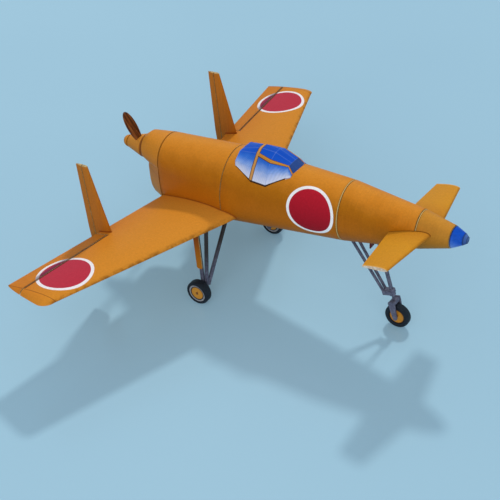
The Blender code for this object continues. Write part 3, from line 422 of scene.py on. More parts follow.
def ringGrid(places, grow=0.0, sections=None, count=160):
    # Section rings at several x, stacked into one sheet
    grid, uv = [], []
    for number, x in enumerate(places):
        y, z, arc = sectionRing(sections[number] if sections else sectionAt(x), grow, count)
        grid.append(np.stack([np.full_like(y, x), y, z], axis=-1))
        uv.append(np.stack([np.full_like(y, x), arc], axis=-1))
    return np.array(grid), np.array(uv)


def shellPiece(settings):
    # A rolled card section: outer skin, inner skin and the two cut edges, rounded by a hair
    start = stations[settings["rear"]]["x"] + seamShown / 2
    end = stations[settings["ahead"]]["x"] - seamShown / 2
    hair = 0.07
    length = end - start
    outerPlaces = [start + hair * 0.3, start + hair, *(start + length * np.linspace(0.08, 0.92, 8)),
        end - hair, end - hair * 0.3]
    outer, outerUv = ringGrid(outerPlaces)
    outer[0, :, 1:] *= 1 - 0.05 / np.abs(outer[0, :, 1:]).max()
    outer[-1, :, 1:] *= 1 - 0.05 / np.abs(outer[-1, :, 1:]).max()
    inner, innerUv = ringGrid([start, end], -cardThickness)
    sheets = [
        dict(points=outer, uv=outerUv),
        dict(points=inner, uv=innerUv, slot=2),
        between(outer[0], inner[0], np.stack([outerUv[0], innerUv[0]]), 1),
        between(outer[-1], inner[-1], np.stack([outerUv[-1], innerUv[-1]]), 1)]
    return buildPiece(dict(settings, materials=[settings["material"], cardEdge, innerCard], crease=40),
        sheets)


def lineAt(x, width, soft, strength, colour):
    # A printed line square to the length
    return dict(normal=(1, 0), through=(x, 0), width=width, soft=soft, strength=strength, colour=colour)


def seamLines(rear, ahead, rearEdge=None, aheadEdge=None):
    # Beside each cut edge a thin printed outline, and where the card is bare, its pale edge
    marks = []
    for name, sign, bare in ((rear, 1, rearEdge), (ahead, -1, aheadEdge)):
        x = stations[name]["x"]
        if bare:
            marks.append(lineAt(x + sign * 0.42, 0.16, 0.06, 0.6, "#4A2C10"))
            marks.append(lineAt(x + sign * 0.20, 0.26, 0.05, 0.9, bare))
        else:
            marks.append(lineAt(x + sign * 0.12, 0.16, 0.08, 0.6, "#4A2C10"))
    return marks


# painted shade round the body: lighter top, darker flank, a darker airbrushed band low on the side, and the warmer
# belly
bodyShadeRamp = [(0.0, "#D88E30"), (0.22, "#D08222"), (0.40, "#B46C0C"), (0.52, "#AC640A"), (0.72, "#B66810"),
    (1.0, "#A86010")]
bodyDisc = dict(outer=8.4, inner=7.45, white="#FBFBFF")
bodyCard = dict(plane="surface", rampRange=(0, 28), ramp=bodyShadeRamp, roughness=0.46, drift=1.0, mottle=0.10)

cockpitLook = dict(
    bodyCard, name="orange printed card, cockpit section",
    marks=seamLines("wing", "front", None, "#D2B878")
    # the red discs run darker lower down the side: painted shade
    + roundel((16.3, -14.0), **bodyDisc, shade=(-22, -6),
    colours=[(0, "#961222"), (1, "#C01C30")])
    + roundel((16.3, 14.0), **bodyDisc, shade=(6, 22),
    colours=[(0, "#C01C30"), (1, "#961222")]))
rearLook = dict(
    bodyCard, name="orange printed card, rear section", marks=seamLines("cowl", "wing"),
    rampRange=(0, 30))
forwardLook = dict(
    bodyCard, name="orange printed card, forward section", marks=seamLines("front", "canard", None, None),
    rampRange=(0, 22), streak=dict(scale=(3.2, 0.05, 0.05), depth=0.06))
noseLook = dict(
    bodyCard, name="orange printed card, nose section", marks=seamLines("canard", "glass", "#D2B878"),
    # the nose's ink runs darker down the side: painted shade
    rampRange=(0, 14), ramp=[(0.0, "#CC8E34"), (0.5, "#B87A26"), (1.0, "#A06A1C")],
    streak=dict(scale=(3.2, 0.05, 0.05), depth=0.05))

for part in (
        dict(name="rear_skin", nodes=["rear_section"], rear="cowl", ahead="wing",
        material=printedCard(rearLook)),
        dict(name="cockpit_skin", nodes=["cockpit_section"], rear="wing", ahead="front",
        material=printedCard(cockpitLook)),
        dict(name="forward_skin", nodes=["forward_section"], rear="front", ahead="canard",
        material=printedCard(forwardLook)),
        dict(name="nose_skin", nodes=["nose_section"], rear="canard", ahead="glass",
        material=printedCard(noseLook))):
    shellPiece(dict(part, slot="card_orange"))


def noseGlazing(settings):
    # A blue cone with a short dark facet cap in front, flat at its tip
    start = stations["glass"]["x"] + seamGap / 2
    outer, uv = ringGrid([start, start + 0.08, *np.linspace(start + 0.5, 64.95, 6), 65.0])
    outer[0, :, 1:] *= 0.985
    count = 10     # corners of the cap
    capRing, capUv = ringGrid([65.0, 66.1], sections=[stations["facet"], stations["tip"]], count=160)
    # the cap is folded from flat panels: straight lines between ten corners
    turn = np.linspace(0, count, capRing.shape[1])
    corner = np.floor(turn).astype(int)
    share = (turn - corner)[:, None]
    step = 160 // count
    low, high = (capRing[1, np.minimum(place * step, 160)] for place in (corner, corner + 1))
    ahead = low * (1 - share) + high * share
    cap = np.stack([capRing[0], ahead])
    tip = np.stack([ahead, np.broadcast_to(ahead[:-1].mean(0), ahead.shape)])
    inner, innerUv = ringGrid([start, 64.4], -cardThickness)
    back = np.stack([inner[1], np.broadcast_to(inner[1, :-1].mean(0), inner[1].shape)])
    rear = np.stack([outer[0], inner[0]])
    sheets = [
        dict(points=outer, uv=uv), dict(points=cap, uv=capUv, slot=1), dict(points=tip, uv=capUv, slot=1),
        dict(points=inner, uv=innerUv, slot=2), dict(points=back, uv=innerUv, slot=2),
        dict(points=rear, uv=innerUv, slot=2)]
    return buildPiece(settings, sheets)


noseBlue = printedCard(dict(
    name="blue printed card, nose glazing", plane="surface", rampRange=(0, 9.5), roughness=0.34, drift=0.4,
    mottle=0.05,
    ramp=[(0.0, "#0E50C6"), (0.40, "#1C58C6"), (0.62, "#4A78D4"), (0.85, "#7FA0E0"), (1.0, "#8FACE4")],
    marks=[
        lineAt(61.65, 0.3, 0.12, 0.7, "#1A2A60"),
        lineAt(stations["facet"]["x"] - 0.05, 0.25, 0.1, 0.6, "#182858")],
    streak=dict(scale=(0.25, 1.6, 1.6), depth=0.16)))
noseCap = printedCard(dict(
    name="grey-blue printed card, nose cap", plane="surface", rampRange=(0, 6), roughness=0.36, drift=0.3,
    mottle=0.06,
    ramp=[(0.0, "#4A6CAE"), (0.5, "#35528F"), (1.0, "#26407A")],
    marks=[
        lineAt(stations["facet"]["x"] + 0.1, 0.16, 0.06, 0.7, "#141E3C"),
        lineAt(stations["tip"]["x"] - 0.1, 0.16, 0.06, 0.6, "#141E3C")]))
noseGlazing(dict(
    name="nose_cone_glazing", nodes=["nose_glazing"], slot="card_blue",
    materials=[noseBlue, noseCap, innerCard], crease=20))
print("fuselage done")


def lofted(sections, count=160):
    # A closed solid through stations, capped at both ends
    grid, uv = ringGrid([s["x"] for s in sections], sections=sections, count=count)
    first = np.stack([grid[0], np.broadcast_to(grid[0, :-1].mean(0), grid[0].shape)])
    last = np.stack([grid[-1], np.broadcast_to(grid[-1, :-1].mean(0), grid[-1].shape)])
    return grid, uv, first, last


def blend(sections, fine):
    # More stations between the given ones, by straight lines
    result = []
    for low, high in zip(sections, sections[1:]):
        for share in np.linspace(0, 1, fine, endpoint=False):
            result.append({key: lerp(low[key], high[key], share) for key in low})
    return result + [sections[-1]]


seamX = stations["cowl"]["x"] - seamGap / 2
shoulder = dict(x=-52.7, half=5.4, top=7.0, mid=-0.5, bottom=-5.2, power=2.0)
coneFront = dict(stations["cowl"], x=seamX, bottom=-6.0, power=2.0)
# just behind the shoulder the card bends over a short radius
coneStations = [stations["tail"]] + blend([
    dict(x=-53.1, half=5.24, top=6.73, mid=-0.42, bottom=-5.06, power=2.0), shoulder], 2)[:-1] + [
    dict(x=-52.2, half=5.6, top=7.02, mid=-0.54, bottom=-5.25, power=2.0), coneFront]
keelStations = [
    dict(x=-53.5, half=3.3, top=-1.5, mid=-6.5, bottom=-13.8, power=5.0),
    dict(x=-52.9, half=3.8, top=-0.5, mid=-6.0, bottom=-15.2, power=5.0),
    dict(x=-51.4, half=4.7, top=1.0, mid=-5.0, bottom=-16.2, power=5.0),
    dict(x=seamX, half=8.4, top=3.0, mid=-4.0, bottom=-16.4, power=4.5)]

cowlLook = dict(
    name="orange printed card, tail cowl", plane="side", roughness=0.46, drift=0.7, mottle=0.10,
    rampMirror=False, rampRange=(-17, 8),
    # darker low down, lighter towards the top: painted shade
    ramp=[(0.0, "#BC7824"), (0.30, "#C47E26"), (0.46, "#B8721C"), (0.60, "#C07A1C"), (0.80, "#D08624"),
    (1.0, "#D88E34")],
    marks=[
        lineAt(stations["cowl"]["x"] - 0.28, 0.2, 0.08, 0.6, "#4A2A10"),
        dict(normal=(0.0, 1), through=(0, -5.5), width=0.22, soft=0.10, strength=0.35, colour="#6A3C14"),
        dict(normal=(1, 0.04), through=(-55.3, 0), width=0.5, soft=0.2, strength=0.8, colour="#4A1510")])
cowlCard = printedCard(cowlLook)


def fusePieces(settings, solids):
    # Closed shells that overlap become one skin by Boolean union
    first, others = solids[0], solids[1:]
    for other in others:
        union = first.modifiers.new(other.name, "BOOLEAN")
        union.object = other
        union.solver = "EXACT"
        union.operation = "UNION"
    mesh = bpy.data.meshes.new_from_object(first.evaluated_get(bpy.context.evaluated_depsgraph_get()))
    first.modifiers.clear()
    first.data = mesh
    first.name = settings["name"]
    for other in others:
        bpy.data.objects.remove(other)
    mesh.set_sharp_from_angle(angle=math.radians(settings["crease"]))
    return first


def cowlPiece(settings):
    # The cone and the keel box under it overlap
    solids = []
    for tag, sections in (("cone", coneStations), ("keel", keelStations)):
        grid, uv, first, last = lofted(sections)
        sheets = [dict(points=grid, uv=uv), dict(points=first, uv=uv[[0, 0]]),
            dict(points=last, uv=uv[[-1, -1]])]
        solids.append(buildPiece(dict(settings, name=settings["name"] + "_" + tag), sheets))
    return fusePieces(settings, solids)


cowlPiece(dict(
    name="tail_cowl_skin", nodes=["tail_cowl"], slot="card_orange", materials=[cowlCard], crease=28))
print("tail cowl done")


lowerShare = 0.22
trailingEdge = 0.40
wingRoot = dict(y=6.0, x=-9.85, z=-10.65, chord=34.0, rise=0.115)
wingTip = dict(y=76.0, x=-33.6, z=-9.5, chord=20.0, rise=0.085)
wingIncidence = math.radians(3.4)
tipBulge = 3.5
tipPeak = 0.22
elevonInner = 39.6
hingeGap = 0.32
hingeShown = 0.28      # the score line as it looks, just open
elevonLip = 0.10       # the elevon's upper front edge stands back, to clear the wing as it swings
elevonHinge = ((-43.9, 40.8), (-47.0, 76.2))
wingStart = 7.6        # where the skin begins, inside the body
wingDisc = dict(centre=(-40.3, 64.0), outer=9.25, inner=8.2)


def airfoil(share, chord, rise):
    # Four-digit thickness law, most of it above the chord line: upper and lower heights
    law = (0.2969 * np.sqrt(share) - 0.1260 * share - 0.3516 * share ** 2
           + 0.2843 * share ** 3 - 0.1036 * share ** 4)
    half = 5 * rise * law * chord
    wedge = trailingEdge / 2 * share
    return 2 * (1 - lowerShare) * half + wedge, -2 * lowerShare * half - wedge


def foil(root, tip, incidence, y, share, upper, side):
    # A point of a tapered plane at span y and chord share, on its upper or lower skin: the leading
    # edge, less share * chord along the incidence, plus the airfoil's height square to it
    along = (y - root["y"]) / (tip["y"] - root["y"])
    chord = lerp(root["chord"], tip["chord"], along)
    high, low = airfoil(share, chord, lerp(root["rise"], tip["rise"], along))
    height = high if upper else low
    x = lerp(root["x"], tip["x"], along) - share * chord * math.cos(incidence) - height * math.sin(incidence)
    z = lerp(root["z"], tip["z"], along) - share * chord * math.sin(incidence) + height * math.cos(incidence)
    return np.stack([x, side * y + 0 * x, z], axis=-1)


def cosineSpread(start, end, count):
    # Closer together at the leading edge
    share = 0.5 * (1 - np.cos(np.linspace(0, math.pi, count)))
    return start + (end - start) * share


def hingeShare(y, offset):
    # Where the elevon's hinge line crosses the chord at span y
    (x0, y0), (x1, y1) = elevonHinge
    x = x0 + (x1 - x0) * (y - y0) / (y1 - y0) + offset
    along = (y - wingRoot["y"]) / (wingTip["y"] - wingRoot["y"])
    lead = lerp(wingRoot["x"], wingTip["x"], along)
    return (lead - x) / (lerp(wingRoot["chord"], wingTip["chord"], along) * math.cos(wingIncidence))


def skinSheet(spans, starts, ends, upper, side, count, spread="cosine"):
    # One skin between two chord shares that may change along the span
    share = np.linspace(0, 1, count)
    if spread == "cosine":
        share = 0.5 * (1 - np.cos(math.pi * share))
    shares = starts[:, None] + (ends - starts)[:, None] * share
    return foil(wingRoot, wingTip, wingIncidence, spans[:, None] + 0 * shares, shares, upper, side)


def wingPiece(side, tag, materials):
    # Full chord as far as the elevon, then cut back to the hinge line: foil() over (span, share) with
    # shares cosine-spaced ahead of the hinge and even behind it; the open ends are closed
    notch = elevonInner - hingeGap
    inner = np.linspace(wingStart, notch, 14)
    outer = np.linspace(notch, wingTip["y"], 16)
    none, full = np.zeros_like(inner), np.ones_like(inner)
    innerHinge = hingeShare(notch, hingeShown) + 0 * inner
    outerHinge = hingeShare(outer, hingeShown)
    sheets = []
    for upper in (True, False):
        sheets.append(dict(points=skinSheet(inner, none, innerHinge, upper, side, 30)))
        sheets.append(dict(points=skinSheet(inner, innerHinge, full, upper, side, 12, "even")))
        sheets.append(dict(points=skinSheet(outer, 0 * outer, outerHinge, upper, side, 30)))
    upperRear = sheets[1]["points"]
    lowerRear = sheets[4]["points"]
    sheets.append(between(upperRear[:, -1], lowerRear[:, -1], slot=1))
    sheets.append(between(upperRear[-1], lowerRear[-1], slot=1))
    sheets.append(between(sheets[0]["points"][0], sheets[3]["points"][0], slot=1))
    sheets.append(between(upperRear[0], lowerRear[0], slot=1))
    # the tip shares the skin's own chord places
    tipHinge = float(hingeShare(np.array(wingTip["y"]), hingeShown))
    share = cosineSpread(0, 1, 30) * tipHinge
    cap, topCut, underCut = tipFromShares(share, side)
    sheets += cap
    sheets.append(between(sheets[2]["points"][:, -1], sheets[5]["points"][:, -1], slot=1))
    sheets.append(between(topCut, underCut, slot=1))
    return buildPiece(dict(
        root=True, name="wing_skin_" + tag, nodes=["wing_" + tag], slot="card_orange", materials=materials,
        crease=32,
        weld=0.000004), sheets)


def tipFromShares(share, side, lowShare=None):
    # Cap over given chord places: upper slope, under slope, and the two lines where it ends aft
    high = foil(wingRoot, wingTip, wingIncidence, wingTip["y"] + 0 * share, share, True, side)
    lowShare = share if lowShare is None else lowShare
    low = foil(wingRoot, wingTip, wingIncidence, wingTip["y"] + 0 * share, lowShare, False, side)
    # the rim swells over the first fifth of the chord, then draws in towards the trailing edge
    rise = np.sqrt(np.clip(1 - (1 - share / tipPeak) ** 2, 0, 1))
    fall = np.clip(1 - (share - tipPeak) / (1 - tipPeak), 0, 1) ** 0.72
    bulge = tipBulge * np.where(share < tipPeak, rise, fall)
    bulge[share >= 0.9999] = 0.0
    rim = np.stack([high[:, 0], low[:, 1] + side * bulge, low[:, 2] + 0.15 * (bulge > 0)], axis=-1)
    rim[bulge <= 0] = low[bulge <= 0]
    out = np.linspace(0, 1, 9)[:, None, None]
    top = high * (1 - out) + rim * out
    top[..., 2] += 0.18 * np.sin(math.pi * out[..., 0]) * (high[:, 2] - low[:, 2])
    under = low * (1 - out) + rim * out
    return [dict(points=top), dict(points=under)], top[:, -1], under[:, -1]


def elevonPiece(side, tag, materials):
    # The wing's skins aft of the hinge line, with a flat front edge, an inner end and its own tip
    spans = np.linspace(elevonInner, wingTip["y"], 18)
    upperStarts, lowerStarts = hingeShare(spans, -elevonLip), hingeShare(spans, 0.0)
    ends = np.ones_like(spans)
    upper = skinSheet(spans, upperStarts, ends, True, side, 14, "even")
    lower = skinSheet(spans, lowerStarts, ends, False, side, 14, "even")
    cap, topCut, underCut = tipFromShares(
        np.linspace(float(upperStarts[-1]), 1.0, 14), side, np.linspace(float(lowerStarts[-1]), 1.0, 14))
    high = cap[0]["points"][:, 0]
    low = cap[1]["points"][:, 0]
    sheets = [
        dict(points=upper), dict(points=lower),
        between(upper[:, 0], lower[:, 0], slot=1),
        between(upper[:, -1], lower[:, -1], slot=1),
        between(upper[0], lower[0], slot=1), *cap,
        between(high, low, slot=1), between(topCut, underCut, slot=1)]
    return buildPiece(dict(
        name="elevon_skin_" + tag, nodes=["elevon_" + tag], slot="card_orange", body="elevon_" + tag,
        materials=materials, crease=32, weld=0.000004), sheets)


hingeNormal = (elevonHinge[1][1] - elevonHinge[0][1], -(elevonHinge[1][0] - elevonHinge[0][0]))
leadNormal = (70.0, -(wingTip["x"] - wingRoot["x"]))
wingMarks = [
    # dark airbrushing along the leading edge, in blotches
    dict(normal=leadNormal, through=(wingRoot["x"], 6.0), width=1.1, soft=0.7, strength=0.6, blotch=0.5,
    colour="#5C3410"),
    # red-brown line where the wing meets the body
    dict(attribute="rootDistance", width=0.55, soft=0.4, strength=0.75, colour="#7A2408"),
    *roundel(**wingDisc),
    # the hinge line, and the soft band that is printed behind it
    dict(normal=hingeNormal, through=(elevonHinge[0][0] + 0.34, elevonHinge[0][1]), width=0.6, soft=0.2,
    strength=0.85,
         colour="#4A1412", within=dict(normal=(0, 1), through=(0, 57.4), width=36.4, soft=0.1)),
    dict(normal=(0, 1), through=(0, wingTip["y"]), width=0.24, soft=0.12, strength=0.6, colour="#5A2E14")]
wingLook = dict(
    name="orange printed card, wing", plane="plan", rampAlong="a", rampRange=(-50, -10), rampMirror=False,
    roughness=0.48, drift=1.5, mottle=0.09, wave=0.00012,
    ramp=[(0.0, "#CC7C26"), (0.35, "#D48A2C"), (1.0, "#D68E30")], marks=wingMarks)
elevonMarks = [
    *roundel(**wingDisc),
    # a soft shade is printed behind the hinge, purple where it crosses the roundel
    dict(normal=hingeNormal, through=(elevonHinge[0][0] - 0.5, elevonHinge[0][1]), width=1.5, soft=0.9,
    strength=0.14,
         colour="#8A4A20"),
    dict(normal=hingeNormal, through=(elevonHinge[0][0] - 0.1, elevonHinge[0][1]), width=0.5, soft=0.15,
    strength=0.75,
         colour="#4A1412", within=dict(normal=(0, 1), through=(0, 57.4), width=36.4, soft=0.1)),
    dict(normal=hingeNormal, through=(elevonHinge[0][0] - 0.6, elevonHinge[0][1]), width=2.2, soft=0.9,
    strength=0.62,
         colour="#3C2048", within=dict(centre=wingDisc["centre"], radius=wingDisc["outer"], soft=0.2)),
    dict(normal=(0, 1), through=(0, wingTip["y"]), width=0.24, soft=0.12, strength=0.6, colour="#5A2E14")]
elevonLook = dict(wingLook, name="orange printed card, elevon", marks=elevonMarks)
wingCard = printedCard(wingLook)
elevonCard = printedCard(elevonLook)
for side, tag in ((1, "left"), (-1, "right")):
    wingPiece(side, tag, [wingCard, cardEdge])
    elevonPiece(side, tag, [elevonCard, cardEdge])
print("wing done")

finOuter = dict(
    y=37.4, top=13.0, topLead=-49.6, topTrail=-54.3, footLead=-43.6, foot=-10.1,
    kink=(-53.3, -11.2), keelTrail=(-51.6, -28.4), keelFront=(-45.6, -28.6), keelLead=(-43.7, -22.0),
    keelRoot=(-42.6, -12.0), half=0.55, edge=0.17, hingeTop=(-51.7, 13.0), hingeLow=(-49.3, -28.6))


def finEdges(z):
    # Leading edge, hinge line and trailing edge at height z; the keel's lower front corner is a
    # quarter ellipse
    f = finOuter
    lead = np.where(
        z >= f["foot"], lerp(f["footLead"], f["topLead"], (z - f["foot"]) / (f["top"] - f["foot"])),
        lerp(f["keelRoot"][0], f["footLead"], (z - f["keelRoot"][1]) / (f["foot"] - f["keelRoot"][1])))
    lead = np.where(
        z < f["keelRoot"][1],
        lerp(f["keelLead"][0], f["keelRoot"][0],
        (z - f["keelLead"][1]) / (f["keelRoot"][1] - f["keelLead"][1])), lead)
    drop = np.clip((f["keelLead"][1] - z) / (f["keelLead"][1] - f["keelFront"][1]), 0, 1)
    curve = lerp(f["keelLead"][0], f["keelFront"][0], 1 - np.sqrt(np.maximum(0, 1 - drop * drop)))
    lead = np.where(z < f["keelLead"][1], curve, lead)
    trail = np.where(
        z >= f["kink"][1], lerp(f["kink"][0], f["topTrail"],
        (z - f["kink"][1]) / (f["top"] - f["kink"][1])),
        lerp(f["keelTrail"][0], f["kink"][0], (z - f["keelTrail"][1]) / (f["kink"][1] - f["keelTrail"][1])))
    low, high = f["hingeLow"], f["hingeTop"]
    hinge = lerp(low[0], high[0], (z - low[1]) / (high[1] - low[1]))
    return lead, hinge, trail


def finPiece(side, tag, rudder, materials):
    # Two faces that swell from thin edges: half thickness = edge + (full - edge) sin(pi s / 2)
    f = finOuter
    levels = np.unique(np.concatenate([
        np.linspace(f["top"], f["keelLead"][1], 22), [f["foot"], f["kink"][1], f["keelRoot"][1]],
        f["keelLead"][1] - (f["keelLead"][1] - f["keelFront"][1]) * np.sin(np.radians(np.linspace(5, 90,
        14)))]))
    lead, hinge, trail = finEdges(levels)
    share = np.linspace(0, 1, 12)
    if rudder:
        x = lerp((hinge - hingeShown)[:, None], trail[:, None], share)
        half = lerp(f["half"], f["edge"], share ** 1.3) + 0 * x
    else:
        x = lerp(lead[:, None], hinge[:, None], share)
        half = f["edge"] + (f["half"] - f["edge"]) * np.sin(np.clip(share / 0.45, 0,
            1) * math.pi / 2) + 0 * x
    z = levels[:, None] + 0 * x
    uv = np.stack([x, z], axis=-1)
    port = np.stack([x, side * f["y"] + half, z], axis=-1)
    starboard = np.stack([x, side * f["y"] - half, z], axis=-1)
    sheets = [
        dict(points=port, uv=uv), dict(points=starboard, uv=uv),
        between(port[:, 0], starboard[:, 0], uv[:, [0, 0]].swapaxes(0, 1), int(rudder)),
        between(port[:, -1], starboard[:, -1], uv[:, [-1, -1]].swapaxes(0, 1), int(not rudder)),
        between(port[0], starboard[0], uv[[0, 0]], 1), between(port[-1], starboard[-1], uv[[-1, -1]], 1)]
    kind = "rudder" if rudder else "fin"
    return buildPiece(dict(
        name=kind + "_skin_" + tag, nodes=[kind + "_" + tag], slot="card_orange",
        body="rudder_" + tag if rudder else "airframe", materials=materials, crease=40), sheets)


finLook = dict(
    name="orange-brown printed card, fin", plane="side", rampMirror=False, rampRange=(-29, 13),
    roughness=0.5,
    drift=0.15, mottle=0.10, wave=0.00006,
    ramp=[(0.0, "#B46E20"), (0.44, "#AE6618"), (0.55, "#B46C1C"), (1.0, "#BA7222")],
    streak=dict(scale=(3.0, 1.0, 0.08), depth=0.14),
    marks=[dict(normal=(41.6, 2.4), through=(-51.75, 13.0), width=0.36, soft=0.12, strength=0.5,
    colour="#5A2C14"),
        dict(normal=(1.0, -4.5), through=(-45.8, -10.95), width=0.75, soft=0.25, strength=0.75,
        colour="#7A2A0C",
             within=dict(normal=(1, 0), through=(-45.8, 0), width=5.4, soft=0.2))])
finCard = printedCard(finLook)
for side, tag in ((1, "left"), (-1, "right")):
    finPiece(side, tag, False, [finCard, cardEdge])
    finPiece(side, tag, True, [finCard, cardEdge])

canardRoot = dict(y=3.1, x=56.2, z=0.9, chord=13.4, rise=0.13)
canardTip = dict(y=25.7, x=52.1, z=-0.05, chord=8.2, rise=0.12)
canardIncidence = math.radians(6.0)
canardStart = 4.0      # where the skin begins, inside the nose


def canardPiece(side, tag, materials):
    # A small tapered plane, folded at its leading edge and cut off square at the tip
    spans = np.linspace(canardStart, canardTip["y"], 12)[:, None]
    share = cosineSpread(0, 1, 34)[None, :] + 0 * spans
    upper = foil(canardRoot, canardTip, canardIncidence, spans + 0 * share, share, True, side)
    lower = foil(canardRoot, canardTip, canardIncidence, spans + 0 * share, share, False, side)
    sheets = [
        dict(points=upper), dict(points=lower),
        between(upper[:, -1], lower[:, -1], slot=1),
        between(upper[0], lower[0], slot=1),
        between(upper[-1], lower[-1], slot=1)]
    return buildPiece(dict(
        root=True, name="canard_skin_" + tag, nodes=["canard_" + tag], slot="card_orange",
        materials=materials, crease=32,
        weld=0.000004), sheets)


canardCard = printedCard(dict(
    name="orange printed card, forward plane", plane="plan", rampAlong="b", rampRange=(4, 26),
    rampMirror=False,
    roughness=0.47, drift=1.0, mottle=0.10, wave=0.00008,
    ramp=[(0.0, "#C07E22"), (0.4, "#D29226"), (1.0, "#D0902A")],
    marks=[
        dict(normal=(0, 1), through=(0, 25.6), width=0.5, soft=0.25, strength=0.5, colour="#E2C890"),
        dict(attribute="rootDistance", width=0.40, soft=0.3, strength=0.7, colour="#6A3A10"),
        dict(normal=(22.6, 4.1), through=(56.2, 3.1), width=0.8, soft=0.4, strength=0.4,
        colour="#8A5216")]))
for side, tag in ((1, "left"), (-1, "right")):
    canardPiece(side, tag, [canardCard, tornEdge])
print("fins and forward planes done")


canopyHalf = 9.4
canopyHeight = 13.35
skirtDrop = 1.8        # how far the skirt runs down, and how far it stands out
skirtIn = 0.5
canopySections = [
    (-13.4, [(0.686, 0.554), (0.660, 0.682), (0.340, 0.839), (0.160, 0.843), (0.0, 0.846)]),
    (-6.3, [(0.931, 0.348), (0.681, 0.614), (0.340, 0.906), (0.149, 0.996), (0.0, 1.0)]),
    (-0.6, [(0.931, 0.326), (0.739, 0.599), (0.500, 0.861), (0.138, 0.974), (0.0, 0.981)]),
    (5.3, [(0.628, 0.543), (0.500, 0.674), (0.340, 0.783), (0.128, 0.790), (0.0, 0.790)]),
    (6.9, [(0.532, 0.569), (0.489, 0.599), (0.431, 0.618), (0.160, 0.668), (0.0, 0.677)])]
footForward = [0.0, 0.0, 0.1, 0.8, 0.85]     # mm the windscreen's foot runs ahead, to lie on the round body


def canopyPiece(settings):
    # Flat panels between the sections: each is a bilinear patch, and every point knows how far it
    # lies from the nearest fold (mm) and how high on the side it is (0 foot, 4 crown)
    fine = 14
    corners = []
    for x, shares in canopySections:
        ahead = footForward if x == canopySections[-1][0] else [0.0] * len(shares)
        half = [(x + more, y * canopyHalf, z * canopyHeight) for (y, z), more in zip(shares, ahead)]
        corners.append(half + [(px, -py, pz) for px, py, pz in half[-2::-1]])
    corners = np.array(corners)
    rows, columns = corners.shape[:2]
    step = np.linspace(0, 1, fine + 1)
    sheets, folds, rings = [], [], []
    for row in range(rows - 1):
        for column in range(columns - 1):
            a, b = corners[row, column], corners[row + 1, column]
            c, d = corners[row + 1, column + 1], corners[row, column + 1]
            u, v = np.meshgrid(step, step, indexing="ij")
            grid = (a * ((1 - u) * (1 - v))[..., None] + b * (u * (1 - v))[..., None]
                    + c * (u * v)[..., None] + d * ((1 - u) * v)[..., None])
            long = np.linalg.norm(b - a) + 1e-6
            wide = (np.linalg.norm(d - a) + np.linalg.norm(c - b)) / 2 + 1e-6
            # the crown line is no fold: the two panels beside it are one
            lowEdge = v * wide if column != columns // 2 else 9.0 + 0 * v
            highEdge = (1 - v) * wide if column != columns // 2 - 1 else 9.0 + 0 * v
            fold = np.minimum.reduce([u * long, (1 - u) * long, lowEdge, highEdge])
            ring = np.minimum(column + v, columns - 1 - (column + v))
            uv = np.stack([grid[..., 0], ring], axis=-1)
            sheets.append(dict(points=grid, uv=uv))
            folds.append(fold)
            rings.append(ring)
    # the skirt runs down inside the fuselage, so no daylight shows under the sill
    for edge, sign in ((corners[:, 0], -1.0), (corners[:, -1], 1.0)):
        down = edge + np.array([0.0, sign * skirtIn, -skirtDrop])
        skirt = np.stack([edge, down])
        sheets.append(dict(points=skirt, uv=np.zeros((2, rows, 2))))
        folds.append(np.zeros((2, rows)))
        rings.append(np.array([np.full(rows, 0.0), np.full(rows, -2.0)]))
    low = np.array([corners[:, 0] + (0, -skirtIn, -skirtDrop), corners[:, -1] + (0, skirtIn, -skirtDrop)])
    sheets.append(dict(points=low, uv=np.zeros((2, rows, 2)), slot=1))
    folds.append(np.zeros((2, rows)))
    rings.append(np.zeros((2, rows)))
    for number in (0, -1):
        rimLine = np.concatenate([
            lerp(corners[number, i], corners[number, i + 1], step[:-1, None]) for i in range(columns - 1)]
            + [corners[number, -1:]])
        base = lerp(low[0, number], low[1, number], np.linspace(0, 1, len(rimLine))[:, None])
        wall = np.stack([rimLine, base])
        sheets.append(dict(points=wall, uv=np.stack([wall[..., 0], 0 * wall[..., 0] + 1.5], axis=-1)))
        folds.append(np.stack([np.zeros(len(rimLine)), np.ones(len(rimLine))]))
        rings.append(np.full((2, len(rimLine)), 1.5))
    extra = {
        "foldDistance": np.concatenate([f.reshape(-1) for f in folds]),
        "ringPlace": np.concatenate([r.reshape(-1) for r in rings])}
    return buildPiece(settings, sheets, extra)


